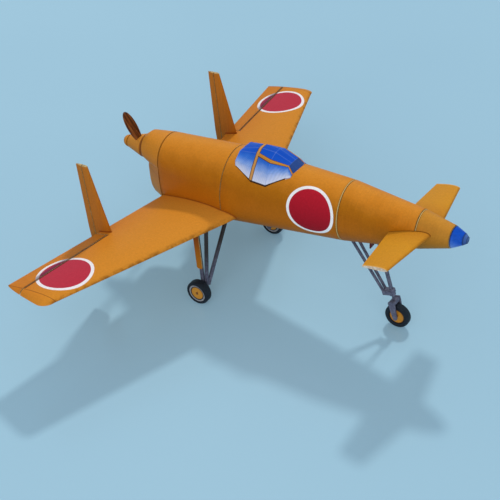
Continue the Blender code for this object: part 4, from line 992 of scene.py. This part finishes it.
def canopyMaterial(settings):
    # Printed glazing: deep blue at the crown to pale lavender at the sill, pale creases, orange frames.
    # Gives the eye the look of a sky in glass, on folded paper
    material, tree, shader = newMaterial(settings["name"], settings["roughness"], 0.22)
    point = levelPoint(tree)
    split = addNode(tree, "SeparateXYZ", {0: point}).node.outputs
    fold = addNode(tree, "Attribute", attribute_name="foldDistance").node.outputs["Fac"]
    ring = addNode(tree, "Attribute", attribute_name="ringPlace").node.outputs["Fac"]
    cloud = addNode(tree, "TexNoise", {"Vector": point, "Scale": 0.5, "Detail": 3.0})
    drift = addNode(tree, "MapRange", {0: cloud, 1: 0.3, 2: 0.7, 3: -0.10, 4: 0.10})
    high = addNode(tree, "Math", {0: ring, 1: drift}, operation="ADD")
    share = addNode(tree, "MapRange", {0: high, 1: settings["rampRange"][0], 2: settings["rampRange"][1]})
    ink = addNode(tree, "ValToRGB", {0: share}, stops=settings["ramp"])
    # fine diagonal hatching that the printed glass carries
    turned = addNode(tree, "Mapping", {0: point, 2: (0.0, 0.6, 0.9), 3: (1.0, 1.0, 1.0)})
    hatch = addNode(tree, "TexWave", {"Vector": turned, "Scale": 0.9, "Distortion": 1.2, "Detail": 2.0})
    hatch = addNode(tree, "MapRange", {0: hatch, 3: 0.94, 4: 1.04})
    ink = shadedInk(tree, ink, hatch)
    # the windscreen panels are greyer
    screen = addNode(tree, "MapRange", {0: split["X"], 1: 5.2, 2: 5.35, 3: 0.0, 4: 0.75})
    upper = addNode(tree, "Math", {0: ring, 1: 2.0}, operation="GREATER_THAN")
    screen = addNode(tree, "Math", {0: screen, 1: upper}, operation="MULTIPLY")
    ink = addNode(tree, "Mix", {0: screen, 6: ink, 7: hexToLinear("#2C4674")}, data_type="RGBA")
    crease = addNode(tree, "MapRange", {0: fold, 1: 0.03, 2: 0.16, 3: 0.32, 4: 0.0},
        interpolation_type="SMOOTHSTEP")
    creaseInk = addNode(
        tree, "Mix", {0: screen, 6: hexToLinear("#7E9CDC"), 7: hexToLinear("#101C3A")}, data_type="RGBA")
    ink = addNode(tree, "Mix", {0: crease, 6: ink, 7: creaseInk}, data_type="RGBA")
    for frameMark in settings["frames"]:
        if frameMark["along"] == "x":
            far = addNode(tree, "Math", {0: split["X"], 1: frameMark["at"]}, operation="SUBTRACT")
            scale = 1.0
        else:
            far = addNode(tree, "Math", {0: ring, 1: frameMark["at"]}, operation="SUBTRACT")
            scale = frameMark["scale"]
        far = addNode(tree, "Math", {0: far}, operation="ABSOLUTE")
        inside = frameMark["width"] / 2 / scale
        outline = frameMark["outline"] / scale
        soft = 0.05 / scale
        for reach, colour in ((inside + outline, "#3A2010"), (inside, frameMark["colour"])):
            mask = addNode(tree, "MapRange", {0: far, 1: reach - soft, 2: reach + soft, 3: 1.0, 4: 0.0})
            if frameMark.get("between"):
                low, top = frameMark["between"]
                gate = addNode(tree, "Math", {0: split["X"], 1: low}, operation="GREATER_THAN")
                gateTop = addNode(tree, "Math", {0: split["X"], 1: top}, operation="LESS_THAN")
                mask = addNode(tree, "Math", {0: mask, 1: gate}, operation="MULTIPLY")
                mask = addNode(tree, "Math", {0: mask, 1: gateTop}, operation="MULTIPLY")
            ink = addNode(tree, "Mix", {0: mask, 6: ink, 7: hexToLinear(colour)}, data_type="RGBA")
    # under the sill the same card runs down orange, with a dark outline between
    for reach, colour in ((0.07, "#3A2010"), (-0.12, "#B87216")):
        mask = addNode(tree, "MapRange", {0: ring, 1: reach - 0.02, 2: reach + 0.02, 3: 1.0, 4: 0.0})
        ink = addNode(tree, "Mix", {0: mask, 6: ink, 7: hexToLinear(colour)}, data_type="RGBA")
    fibre = addNode(tree, "TexNoise", {"Vector": point, "Scale": 2.6, "Detail": 4.0})
    finishShader(tree, shader, ink, fibre, (0.05, 0.1), fibre, 0.4, 0.00002)
    return material


canopyLook = dict(
    name="blue printed card, canopy", roughness=0.42, rampRange=(0.0, 4.0),
    ramp=[(0.0, "#DCE0F6"), (0.14, "#C0CCF0"), (0.27, "#84A8EA"), (0.40, "#3474DA"), (0.52, "#0853CA"),
    (1.0, "#004CC4")],
    frames=[
        dict(along="x", at=-6.3, width=0.95, outline=0.20, colour="#D09450"),
        dict(along="ring", at=2.0, width=1.15, outline=0.22, scale=4.2, colour="#CC8830",
        between=(-5.95, 9.0))])
canopyPiece(dict(
    name="canopy_skin", nodes=["canopy"], slot="card_blue", crease=6,
    materials=[canopyMaterial(canopyLook), innerCard]))
print("canopy done")


propeller = dict(
    spinnerX=-56.0, seamX=-63.4, tailX=-66.1, radius=4.2, capRadius=2.25, lip=0.8, rootX=-58.2, tip=17.6,
    width=3.7, rootWidth=2.7, thickness=0.5, lean=-24, pitch=-24, peak=0.45, fullness=2.2)

spinnerCard = printedCard(dict(
    name="orange printed card, spinner", plane="side", rampMirror=False, rampRange=(-4, 4), roughness=0.45,
    drift=0.5,
    # darker below, lighter on top: painted shade
    mottle=0.06, wave=0.00005, ramp=[(0.0, "#A8661C"), (0.5, "#C47E26"), (1.0, "#D8923A")],
    marks=[
        lineAt(propeller["seamX"], 0.4, 0.12, 0.35, "#8A5A20"),
        lineAt(propeller["spinnerX"] - 0.2, 0.6, 0.2, 0.6, "#5A1A12")]))
p = propeller
coneProfile = roundedProfile([
    (p["spinnerX"], 0.9), (p["spinnerX"], p["radius"]), (p["spinnerX"] - p["lip"], p["radius"]),
    (p["seamX"], p["capRadius"]), (p["seamX"], 0.9), (p["spinnerX"], 0.9)], 0.12)
buildPiece(dict(
    name="spinner_cone_skin", nodes=["spinner_cone"], slot="card_orange", body="propeller",
    materials=[spinnerCard],
    crease=30), [turnedSheet(coneProfile)])
turn = np.linspace(0.35, math.pi / 2, 18)
capStart = p["seamX"] - 0.3
domeProfile = [(capStart, 0.0), (capStart, p["capRadius"] - 0.06), (capStart - 0.06, p["capRadius"])]
domeProfile += [(p["seamX"] - 2.7 * math.sin(a), p["capRadius"] * math.cos(a)) for a in turn]
domeProfile[-1] = (p["tailX"], 0.0)
buildPiece(dict(
    name="spinner_cap_skin", nodes=["spinner_cap"], slot="card_orange", body="propeller",
    materials=[spinnerCard],
    crease=30), [turnedSheet(domeProfile)])


def bladePiece(number, turned, material):
    # Paddle outline: half width = swell * sqrt(1 - beyond^fullness), with the share of the length past
    # the widest place as beyond; thinned to the edges as sqrt(1 - across^4), cambered as across^2
    share = (p["spinnerX"] - p["rootX"]) / (p["spinnerX"] - p["seamX"])
    seat = lerp(p["radius"], p["capRadius"], share) - 0.15
    reach = p["tip"] - seat
    t = np.concatenate([np.linspace(0, 0.8, 22), 1 - 0.2 * np.cos(np.linspace(0.15, math.pi / 2, 14))])
    swell = np.sin(np.clip(t / p["peak"], 0, 1) * math.pi / 2)
    beyond = np.clip((t - p["peak"]) / (1 - p["peak"]), 0, 1)
    taper = np.sqrt(np.maximum(0, 1 - beyond ** p["fullness"]))
    halfWidth = lerp(p["rootWidth"] / 2, p["width"] / 2, swell) * taper
    across = np.linspace(-1, 1, 17)
    w = halfWidth[:, None] * across
    half = p["thickness"] / 2 * (0.35 + 0.65 * np.sqrt(np.maximum(0, 1 - across ** 4)))[None, :] + 0 * w
    camber = -0.12 * (across ** 2)[None, :] + 0 * w
    length = seat + reach * t[:, None] + 0 * w
    uv = np.stack([w, length], axis=-1)
    front = np.stack([half + camber, w, length], axis=-1)
    back = np.stack([-half + camber, w, length], axis=-1)
    place = (Matrix.Translation((p["spinnerX"], 0, 0)) @ Matrix.Rotation(-math.pi / 2, 4, "Y")
             @ Matrix.Translation((0, 0, p["spinnerX"] - p["rootX"]))
             @ Matrix.Rotation(turned + math.radians(p["lean"]), 4, "Z") @ Matrix.Rotation(math.pi / 2, 4,
             "Y")
             @ Matrix.Rotation(math.radians(p["pitch"]), 4, "Z"))
    matrix = np.array(place)

    def moved(grid):
        return grid @ matrix[:3, :3].T + matrix[:3, 3]

    front, back = moved(front), moved(back)
    sheets = [
        dict(points=front, uv=uv), dict(points=back, uv=uv),
        between(front[:, 0], back[:, 0], uv[:, [0, 0]].swapaxes(0, 1)),
        between(front[:, -1], back[:, -1], uv[:, [-1, -1]].swapaxes(0, 1)),
        between(front[0], back[0], uv[[0, 0]]), between(front[-1], back[-1], uv[[-1, -1]])]
    return buildPiece(dict(
        name="blade_print_%d" % number, nodes=["blade_%d" % number], slot="card_brown", body="propeller",
        materials=[material], crease=30), sheets)


def woodPrint(settings):
    # Printed wood grain: dark lines along the blade that waver, on red-brown. Gives the eye a carved blade
    material, tree, shader = newMaterial(settings["name"], settings["roughness"], 0.4)
    uv = addNode(tree, "UVMap", uv_map="surface")
    stretched = addNode(tree, "Mapping", {0: uv, 3: (1.9, 0.10, 1.0)})
    grain = addNode(tree, "TexNoise",
        {"Vector": stretched, "Scale": 1.0, "Detail": 4.0, "Roughness": 0.6, "Distortion": 0.6})
    ink = addNode(tree, "ValToRGB", {0: grain}, stops=settings["ramp"])
    finishShader(tree, shader, ink, grain, (0.08, 0.08), grain, 0.3, 0.00003)
    return material


bladeWood = woodPrint(dict(
    name="printed wood grain on card, propeller blade", roughness=0.5,
    ramp=[(0.36, "#2A1206"), (0.46, "#5C3014"), (0.55, "#84481E"), (0.66, "#A06834")]))
for number, turned in ((1, 0.0), (2, math.pi)):
    bladePiece(number, turned, bladeWood)
print("propeller done")


mainWheel = dict(radius=4.35, width=3.4, disc=3.3, x=-19.9, y=23.9)
noseWheel = dict(radius=4.35, width=2.6, disc=2.75, x=43.8, y=0.0)


def groundHeight(x, radius):
    # Height of an axle at x whose wheel stands on the floor: (radius - ride - x sin) / cos
    return (radius - rideHeight - x * math.sin(stance)) / math.cos(stance)


def rolledRod(settings):
    # Grey-printed paper rolled tight, its layers as long streaks: gives the eye thin rods with a soft
    # sheen, and painted shade: darker towards the wing where settings ask for it
    material, tree, shader = newMaterial(settings["name"], settings["roughness"], 0.4)
    point = levelPoint(tree)
    cloud = addNode(tree, "TexNoise", {"Vector": point, "Scale": 1.1, "Detail": 4.0, "Roughness": 0.6})
    ink = addNode(tree, "ValToRGB", {0: cloud}, stops=settings["ramp"])
    uv = addNode(tree, "UVMap", uv_map="surface")
    layers = addNode(tree, "TexNoise", {
        "Vector": addNode(tree, "Mapping", {0: uv, 3: (0.25, 4.0, 1.0)}), "Scale": 1.0, "Detail": 2.0})
    dark = addNode(tree, "MapRange", {0: layers, 1: 0.3, 2: 0.7, 3: 0.82, 4: 1.1})
    # painted shade: the ink runs to the shade colour towards the wing
    if settings.get("shadeFrom"):
        high = addNode(tree, "SeparateXYZ", {0: point}).node.outputs["Z"]
        top, low = settings["shadeFrom"]
        shade = addNode(tree, "MapRange", {0: high, 1: top, 2: low, 3: 0.92, 4: 0.0})
        ink = addNode(tree, "Mix", {0: shade, 6: ink, 7: hexToLinear(settings["shadeColour"])},
            data_type="RGBA")
    finishShader(tree, shader, shadedInk(tree, ink, dark), cloud, (0.08, 0.1), layers, 0.5, 0.00003)
    return material


# dark towards the top, under the wing: painted shade
greyRod = rolledRod(dict(
    name="grey printed paper, rolled tight, undercarriage rod", roughness=0.45, shadeFrom=(-20.0, -30.0),
    shadeColour="#2A1D12",
    ramp=[(0.30, "#3E3E50"), (0.50, "#585A6E"), (0.72, "#74768A")]))


def rubberCard(settings):
    # Laminated card discs sanded round and inked black, 2.2 layers to the mm. Gives the eye dull rubber
    material, tree, shader = newMaterial(settings["name"], settings["roughness"], 0.35)
    point = levelPoint(tree)
    split = addNode(tree, "SeparateXYZ", {0: point}).node.outputs
    layers = addNode(tree, "Math", {0: split["Y"], 1: settings["layersPerMm"] * 2 * math.pi},
        operation="MULTIPLY")
    layers = addNode(tree, "Math", {0: layers}, operation="SINE")
    cloud = addNode(tree, "TexNoise", {"Vector": point, "Scale": 1.6, "Detail": 5.0, "Roughness": 0.65})
    ink = addNode(tree, "ValToRGB", {0: cloud}, stops=settings["ramp"])
    relief = addNode(tree, "Math", {0: layers, 1: cloud}, operation="ADD")
    finishShader(tree, shader, ink, cloud, (0.12, 0.08), relief, 0.5, 0.00002)
    return material


tyreCard = rubberCard(dict(
    name="black inked laminated card, tyre", roughness=0.62, layersPerMm=2.2,
    ramp=[(0.30, "#0E1218"), (0.55, "#181E28"), (0.75, "#2A303C")]))


def hubMaterial(settings):
    # Printed hub, by distance from the axle: dark centre, orange disc, black ring, light ring. Gives
    # the eye a wheel's rim where there is only paper
    material, tree, shader = newMaterial(settings["name"], 0.5, 0.4)
    point = levelPoint(tree)
    centre = (settings["centre"][0], 0.0, settings["centre"][2])
    flat = addNode(tree, "VectorMath", {0: point, 1: (1, 0, 1)}, operation="MULTIPLY")
    far = addNode(tree, "VectorMath", {0: flat, 1: centre}, operation="DISTANCE").node.outputs["Value"]
    share = addNode(tree, "MapRange", {0: far, 1: 0.0, 2: settings["disc"]})
    ink = addNode(tree, "ValToRGB", {0: share}, stops=settings["ramp"])
    dot = addNode(tree, "VectorMath", {0: flat, 1: (centre[0] + 0.35, 0, centre[2] + 0.7)},
        operation="DISTANCE")
    dot = addNode(tree, "MapRange", {0: dot.node.outputs["Value"], 1: 0.12, 2: 0.3, 3: 0.8, 4: 0.0})
    ink = addNode(tree, "Mix", {0: dot, 6: ink, 7: hexToLinear("#7A1C14")}, data_type="RGBA")
    fibre = addNode(tree, "TexNoise", {"Vector": point, "Scale": 3.0, "Detail": 4.0})
    finishShader(tree, shader, ink, fibre, (0.08, 0.08), fibre, 0.4, 0.00002)
    return material


mainHubRamp = [
    (0.0, "#6E3C14"), (0.13, "#6E3C14"), (0.16, "#B87820"), (0.20, "#D0902C"), (0.69, "#CC8A26"),
    (0.72, "#14151A"),
    (0.80, "#14151A"), (0.83, "#8E9098"), (0.95, "#A6A8AE"), (1.0, "#202226")]
noseHubRamp = [
    (0.0, "#6E3C14"), (0.14, "#6E3C14"), (0.18, "#D0902C"), (0.84, "#C88624"), (0.90, "#6A4218"),
    (1.0, "#15161A")]


def wheelPieces(tag, size, side):
    # Tyre: rounded tread profile carried round the axle; disc: shallow dish with a raised rim
    hub = (size["x"], side * size["y"], groundHeight(size["x"], size["radius"]))
    w = size["width"] / 2
    radius = size["radius"]
    curve = 0.28 * size["width"]
    arcs = np.radians(np.linspace(90, 0, 8))
    half = [(w - curve + curve * math.sin(a), radius - curve + curve * math.cos(a)) for a in arcs]
    hole = size["disc"] + 0.02
    outer = [(w - 0.25, hole), (w - 0.08, hole + 0.12), (w, hole + 0.35)]
    tyre = outer + half + [(-x, r) for x, r in half[::-1]] + [(-x, r) for x, r in outer[::-1]] + outer[:1]
    depth = w - 0.35
    rim = size["disc"] - 0.05
    bore = 0.42
    disc = roundedProfile([
        (-depth, bore), (-depth + 0.12, rim - 0.8), (-depth, rim - 0.45), (-depth, rim), (depth, rim),
        (depth, rim - 0.45), (depth - 0.12, rim - 0.8), (depth, bore), (-depth, bore)], 0.1)
    for name, profile, material, slot, nodes in (
            ("tyre_ring_" + tag, tyre, tyreCard, "tyre_black", ["tyre_" + tag]),
            ("hub_disc_" + tag, disc, hubMaterial(dict(
                name="printed card hub, " + tag, centre=hub, disc=size["disc"],
                ramp=noseHubRamp if tag == "nose" else mainHubRamp)), "hub_orange",
             ["wheel_disc_" + tag])):
        sheet = turnedSheet(profile, steps=96)
        x, y, z = np.moveaxis(sheet["points"], -1, 0)
        sheet["points"] = np.stack([hub[0] + y, hub[1] + x, hub[2] + z], axis=-1)
        body = "nose_wheel" if tag == "nose" else "main_wheel_" + tag
        buildPiece(dict(name=name, nodes=nodes, slot=slot, body=body, materials=[material], crease=35),
            [sheet])
    return hub


def underside(x, y):
    # Height of the wing's lower skin at a plan position
    along = (abs(y) - wingRoot["y"]) / (wingTip["y"] - wingRoot["y"])
    share = (lerp(wingRoot["x"], wingTip["x"], along) - x) / lerp(wingRoot["chord"], wingTip["chord"],
        along)
    return foil(wingRoot, wingTip, wingIncidence, np.array(float(abs(y))), np.array(share), False, 1)[2]


def rodPiece(name, node, start, end, radius, body="airframe", material=None):
    # One rod on its body
    return buildPiece(dict(
        name=name, nodes=[node], slot="card_grey", body=body, materials=[material or greyRod], crease=35),
        [rodSheet(start, end, radius)])


gear = dict(
    legY=21.1, legTop=-20.6, strutTop=-16.6, legRadius=0.74, strutRadius=0.70, stayRadius=0.72,
    legEnd=0.9, strutFoot=(1.3, 1.0), stayTop=(-17.0, 8.6, -12.9), stayFoot=(1.7, -0.5, 1.5), sink=0.1,
    doorLength=14.5, doorWidth=2.2, doorThickness=0.4, doorSeat=0.62, doorGap=1.2)
doorCard = printedCard(dict(
    name="orange-brown printed card, gear door", plane="side", rampMirror=False, rampRange=(-30, -12),
    roughness=0.5,
    drift=0.5, mottle=0.08, wave=0.00002,
    # darker towards the top under the wing, a painted shade of the wing, and dark red at its top end
    ramp=[(0.0, "#B8741E"), (0.5, "#AC6414"), (0.85, "#964810"), (1.0, "#80200F")]))
for side, tag in ((1, "left"), (-1, "right")):
    hub = wheelPieces(tag, mainWheel, side)
    inner = side * gear["legY"]
    top = underside(gear["legTop"], inner) - gear["sink"]
    rodPiece("main_leg_rod_" + tag, "main_leg_" + tag, (gear["legTop"], inner, top),
             (hub[0], inner, hub[2] - gear["legEnd"]), gear["legRadius"])
    rodPiece("front_strut_rod_" + tag, "front_strut_" + tag,
             (gear["strutTop"], inner, underside(gear["strutTop"], inner) - gear["sink"]),
             (hub[0] + gear["strutFoot"][0], inner, hub[2] + gear["strutFoot"][1]), gear["strutRadius"])
    stayX, stayY, stayZ = gear["stayTop"]
    footX, footY, footZ = gear["stayFoot"]
    rodPiece("side_stay_rod_" + tag, "side_stay_" + tag, (stayX, side * stayY, stayZ),
             (hub[0] + footX, side * (gear["legY"] + footY), hub[2] + footZ), gear["stayRadius"])
    lean = math.atan2(hub[0] - gear["legTop"], top - hub[2])
    middle = gear["doorGap"] + gear["doorLength"] / 2
    centre = (gear["legTop"] + middle * math.sin(lean), top - middle * math.cos(lean))
    halfWide, halfLong, cut = gear["doorWidth"] / 2, gear["doorLength"] / 2, 0.45
    shape = [
        (-halfWide, -halfLong + cut), (-halfWide + cut, -halfLong), (halfWide - cut, -halfLong),
        (halfWide, -halfLong + cut),
        (halfWide, halfLong), (-halfWide, halfLong)]
    face = gear["legY"] + gear["doorSeat"]

    def place(a, b, depth, lean=lean, centre=centre, side=side):
        # turned by the leg's lean about the door's middle
        x = centre[0] + a * math.cos(lean) - b * math.sin(lean)
        z = centre[1] + a * math.sin(lean) + b * math.cos(lean)
        return np.stack([x, side * depth, z], axis=-1)

    buildPiece(dict(
        name="gear_door_card_" + tag, nodes=["gear_door_" + tag], slot="card_orange",
        materials=[doorCard, cardEdge],
        crease=30), prismSheets(shape, face, face + gear["doorThickness"], place, edgeSlot=1))

hub = np.array(wheelPieces("nose", noseWheel, 0.0))
noseLeg = dict(x=36.2, aimZ=-9.9, sink=0.1, collarUp=9.2)     # the collar's place is up the leg from the axle
legTop = np.array([noseLeg["x"], 0.0, sectionAt(noseLeg["x"])["bottom"] - noseLeg["sink"]])
legAim = np.array([noseLeg["x"], 0.0, noseLeg["aimZ"]])
down = (hub - legAim) / np.linalg.norm(hub - legAim)
collar = hub - down * noseLeg["collarUp"]
greyBracket = rolledRod(dict(
    name="grey printed card, folded bracket", roughness=0.5,
    ramp=[(0.30, "#44465A"), (0.50, "#5C5E74"), (0.72, "#7A7C90")]))
noseRod = rolledRod(dict(
    name="grey printed paper, rolled tight, nose gear rod", roughness=0.45,
    ramp=[(0.30, "#3A3C4C"), (0.50, "#56586C"), (0.72, "#74768A")]))
noseGear = dict(
    legRadius=0.66, slideRadius=0.48, braceRadius=0.52, collarAft=3.1, collarAhead=0.6, collarWidth=2.8,
    collarHeight=1.5, bossRadius=1.15, bossHeight=2.3, forkWidth=2.1, forkPlate=0.60, forkHalf=2.38,
    forkEnd=0.75,
    bridgeLow=-4.35, bridgeTop=-3.05, axleDrop=-9.2, legEnd=1.12, slideTop=0.9, slideEnd=-3.5,
    braceX=27.2, braceTopY=1.4, braceSink=0.2, braceFoot=(-2.7, 0.8, 0.5))
ahead = np.array([-down[2], 0.0, down[0]])    # square to the leg, towards the nose
across = np.array([0.0, 1.0, 0.0])


def gearPoint(a, y, h):
    # a ahead of the leg, y to port, h up the leg from the collar's middle
    a, y, h = (np.asarray(part, float)[..., None] for part in (a, y, h))
    return collar + a * ahead + y * across - h * down


def bracketPiece(name, node, body, shells):
    # Folded card parts glued into one bracket
    settings = dict(nodes=[node], slot="card_grey", body=body, materials=[greyBracket], crease=30)
    solids = [buildPiece(dict(settings, name="%s_%d" % (name, number)), sheets) for number,
        sheets in enumerate(shells)]
    return fusePieces(dict(settings, name=name), solids)


def upright(a, b, depth):
    # A plate that stands along the leg
    return gearPoint(a, depth, b)


g = noseGear
block = [
    (-g["collarAft"], -g["collarWidth"] / 2 + 0.2), (-g["collarAft"] + 0.2, -g["collarWidth"] / 2),
    (g["collarAhead"], -g["collarWidth"] / 2), (g["collarAhead"], g["collarWidth"] / 2),
    (-g["collarAft"] + 0.2, g["collarWidth"] / 2), (-g["collarAft"], g["collarWidth"] / 2 - 0.2)]
bracketPiece("collar_bracket", "leg_collar", "airframe", [
    prismSheets(block, -g["collarHeight"] / 2, g["collarHeight"] / 2, gearPoint, edge=0.10),
    [rodSheet(gearPoint(0, 0, -g["bossHeight"] / 2), gearPoint(0, 0, g["bossHeight"] / 2), g["bossRadius"],
    steps=40)]])
half = g["forkWidth"] / 2
bridge = [(-half, -g["forkHalf"] + 0.1), (half, -g["forkHalf"] + 0.1), (half, g["forkHalf"] - 0.1),
    (-half, g["forkHalf"] - 0.1)]
halfTurn = np.radians(np.linspace(180, 360, 13))
plate = [(g["forkEnd"] * math.cos(t), g["axleDrop"] + g["forkEnd"] * math.sin(t)) for t in halfTurn]
plate += [(half + 0.1, g["bridgeLow"]), (half + 0.1, g["bridgeTop"] + 0.02),
    (half - 0.1, g["bridgeTop"] + 0.22),
          (-half + 0.1, g["bridgeTop"] + 0.22), (-half - 0.1, g["bridgeTop"] + 0.02),
          (-half - 0.1, g["bridgeLow"])]
bracketPiece("fork_bracket", "nose_fork", "nose_fork_swivel", [
    prismSheets(bridge, g["bridgeLow"], g["bridgeTop"], gearPoint, edge=0.10),
    prismSheets(plate, g["forkHalf"] - g["forkPlate"], g["forkHalf"], upright, edge=0.09),
    prismSheets(plate, -g["forkHalf"], -g["forkHalf"] + g["forkPlate"], upright, edge=0.09)])
rodPiece("nose_leg_rod", "nose_leg", tuple(legTop), gearPoint(0, 0, g["legEnd"]), g["legRadius"], material=noseRod)
rodPiece("sliding_leg_rod", "sliding_leg", gearPoint(0, 0, g["slideTop"]), gearPoint(0, 0, g["slideEnd"]), g["slideRadius"],
         "nose_fork_swivel", material=noseRod)
footA, footY, footH = g["braceFoot"]
braceTop = sectionAt(g["braceX"])["bottom"] + g["braceSink"]
for side, tag in ((1, "left"), (-1, "right")):
    rodPiece("nose_brace_rod_" + tag, "nose_brace_" + tag, (g["braceX"], side * g["braceTopY"], braceTop),
             gearPoint(footA, side * footY, footH), g["braceRadius"], material=noseRod)



def drawnWire(settings):
    # Bare metal with the die's fine lines along its length: gives the eye a soft streak of light
    material, tree, shader = newMaterial(settings["name"], settings["roughness"], metallic=1.0)
    point = levelPoint(tree)
    lines = addNode(tree, "TexNoise", {
        "Vector": addNode(tree, "Mapping", {0: point, 3: (0.15, 6.0, 6.0)}), "Scale": 1.0, "Detail": 3.0})
    tone = addNode(tree, "ValToRGB", {0: lines}, stops=settings["ramp"])
    finishShader(tree, shader, tone, lines, (0.08, 0.08), lines, 0.4, 0.00001)
    return material


wireSteel = drawnWire(dict(
    name="drawn steel wire", roughness=0.35, ramp=[(0.3, "#8A8A8E"), (0.5, "#A6A6AA"), (0.7, "#BEBEC2")]))
inkedWire = rolledRod(dict(
    name="wire axle, its ends inked brown", roughness=0.45,
    ramp=[(0.3, "#5A3414"), (0.5, "#7A4A1C"), (0.7, "#8A5822")]))
redCard = plainCard("dark red printed card", "#6E1A1A", "#48100F", roughness=0.6)
kept = {
    stockCard: ["former_canard", "former_cowl", "former_front", "former_glass", "former_wing", "wing_spar",
    "canard_tab", "shaft_bush"],
    wireSteel: ["propeller_shaft"],
    inkedWire: ["axle_left", "axle_right", "axle_nose"],
    redCard: ["nose_door"]}
for material, names in kept.items():
    for name in names:
        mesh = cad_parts[name].data
        mesh.materials.clear()
        mesh.materials.append(material)
print("undercarriage done")


stageLook = dict(size=6.0, glow=0.22, roughness=0.22)
floorMesh = bpy.data.meshes.new("floor")
halfSize = stageLook["size"] / 2
floorMesh.from_pydata(
    [(-halfSize, -halfSize, 0), (halfSize, -halfSize, 0), (halfSize, halfSize, 0),
    (-halfSize, halfSize, 0)], [], [(0, 1, 2, 3)])
floor = bpy.data.objects.new("floor", floorMesh)
bpy.context.scene.collection.objects.link(floor)


def raySeen(tree):
    # 1 for rays that show the background: straight from the camera, by gloss or through glass
    rays = tree.nodes.new("ShaderNodeLightPath")
    seen = addNode(tree, "Math", {0: rays.outputs["Is Camera Ray"], 1: rays.outputs["Is Glossy Ray"]},
        operation="MAXIMUM")
    return addNode(tree, "Math", {0: seen, 1: rays.outputs["Is Transmission Ray"]}, operation="MAXIMUM")


# painted board: partly its own plain tone, partly the light that falls on it, so the shadow stays
floorMaterial, tree, shader = newMaterial("pale satin painted board", stageLook["roughness"], 0.30)
cloud = addNode(tree, "TexNoise", {
    "Vector": tree.nodes.new("ShaderNodeTexCoord").outputs["Object"], "Scale": 3.0, "Detail": 3.0})
tint = addNode(tree, "ValToRGB", {0: cloud}, stops=[(0.3, "#9CC5DD"), (0.7, "#A2CBE2")])
share = addNode(tree, "Math", {0: raySeen(tree), 1: stageLook["glow"]}, operation="MULTIPLY")
lit = addNode(tree, "Mix", {0: share, 6: tint, 7: (0, 0, 0, 1)}, data_type="RGBA")
tree.links.new(lit, shader.inputs["Base Color"])
tree.links.new(tint, shader.inputs["Emission Color"])
tree.links.new(share, shader.inputs["Emission Strength"])
floorMesh.materials.append(floorMaterial)

world = bpy.data.worlds.new("studio")
bpy.context.scene.world = world
world.use_nodes = True
tree = world.node_tree
tree.nodes.clear()
seen = raySeen(tree)
fill = addNode(tree, "Background", {0: hexToLinear("#F2F4F8"), 1: 0.50})
backdrop = addNode(tree, "Background", {0: hexToLinear("#A6CADE"), 1: 0.9})
mixed = addNode(tree, "MixShader", {0: seen, 1: fill, 2: backdrop})
tree.links.new(mixed, tree.nodes.new("ShaderNodeOutputWorld").inputs["Surface"])


def sunLight(settings):
    # A sun that shines from its place towards the origin
    data = bpy.data.lights.new(settings["name"], "SUN")
    data.angle = math.radians(settings["softness"])
    data.energy = settings["strength"]
    data.color = hexToLinear(settings["colour"])[:3]
    light = bpy.data.objects.new(settings["name"], data)
    light.location = settings["place"]
    light.rotation_mode = "QUATERNION"
    light.rotation_quaternion = Vector(settings["place"]).to_track_quat("Z", "Y")
    light.visible_glossy = False    # the lamps leave no hot spot on the satin board
    bpy.context.scene.collection.objects.link(light)
    return light


sunLight(dict(name="keyLight", place=(-0.22, 0.62, 0.75), softness=5.0, strength=1.35, colour="#FFF8EE"))
sunLight(dict(name="fillLight", place=(0.35, -0.72, 0.45), softness=60.0, strength=1.2, colour="#FFFAF4"))

cameraLook = dict(sensor=36.0, lens=75.96)     # mm
camera = bpy.data.objects.new("camera", bpy.data.cameras.new("camera"))
camera.data.sensor_width = cameraLook["sensor"]
camera.data.lens = cameraLook["lens"]
camera.data.clip_start = 0.01
bpy.context.scene.collection.objects.link(camera)
bpy.context.scene.camera = camera
bpy.context.scene.view_settings.view_transform = "Standard"
# right, up and back of the camera as columns, then where it stands (metres)
camera.matrix_world = Matrix((
    (0.837131, -0.306151, 0.453303, 0.155749), (0.546244, 0.511501, -0.663313, -0.247480),
    (-0.028791, 0.802894, 0.595427, 0.230996), (0.0, 0.0, 0.0, 1.0)))
print("stage done")
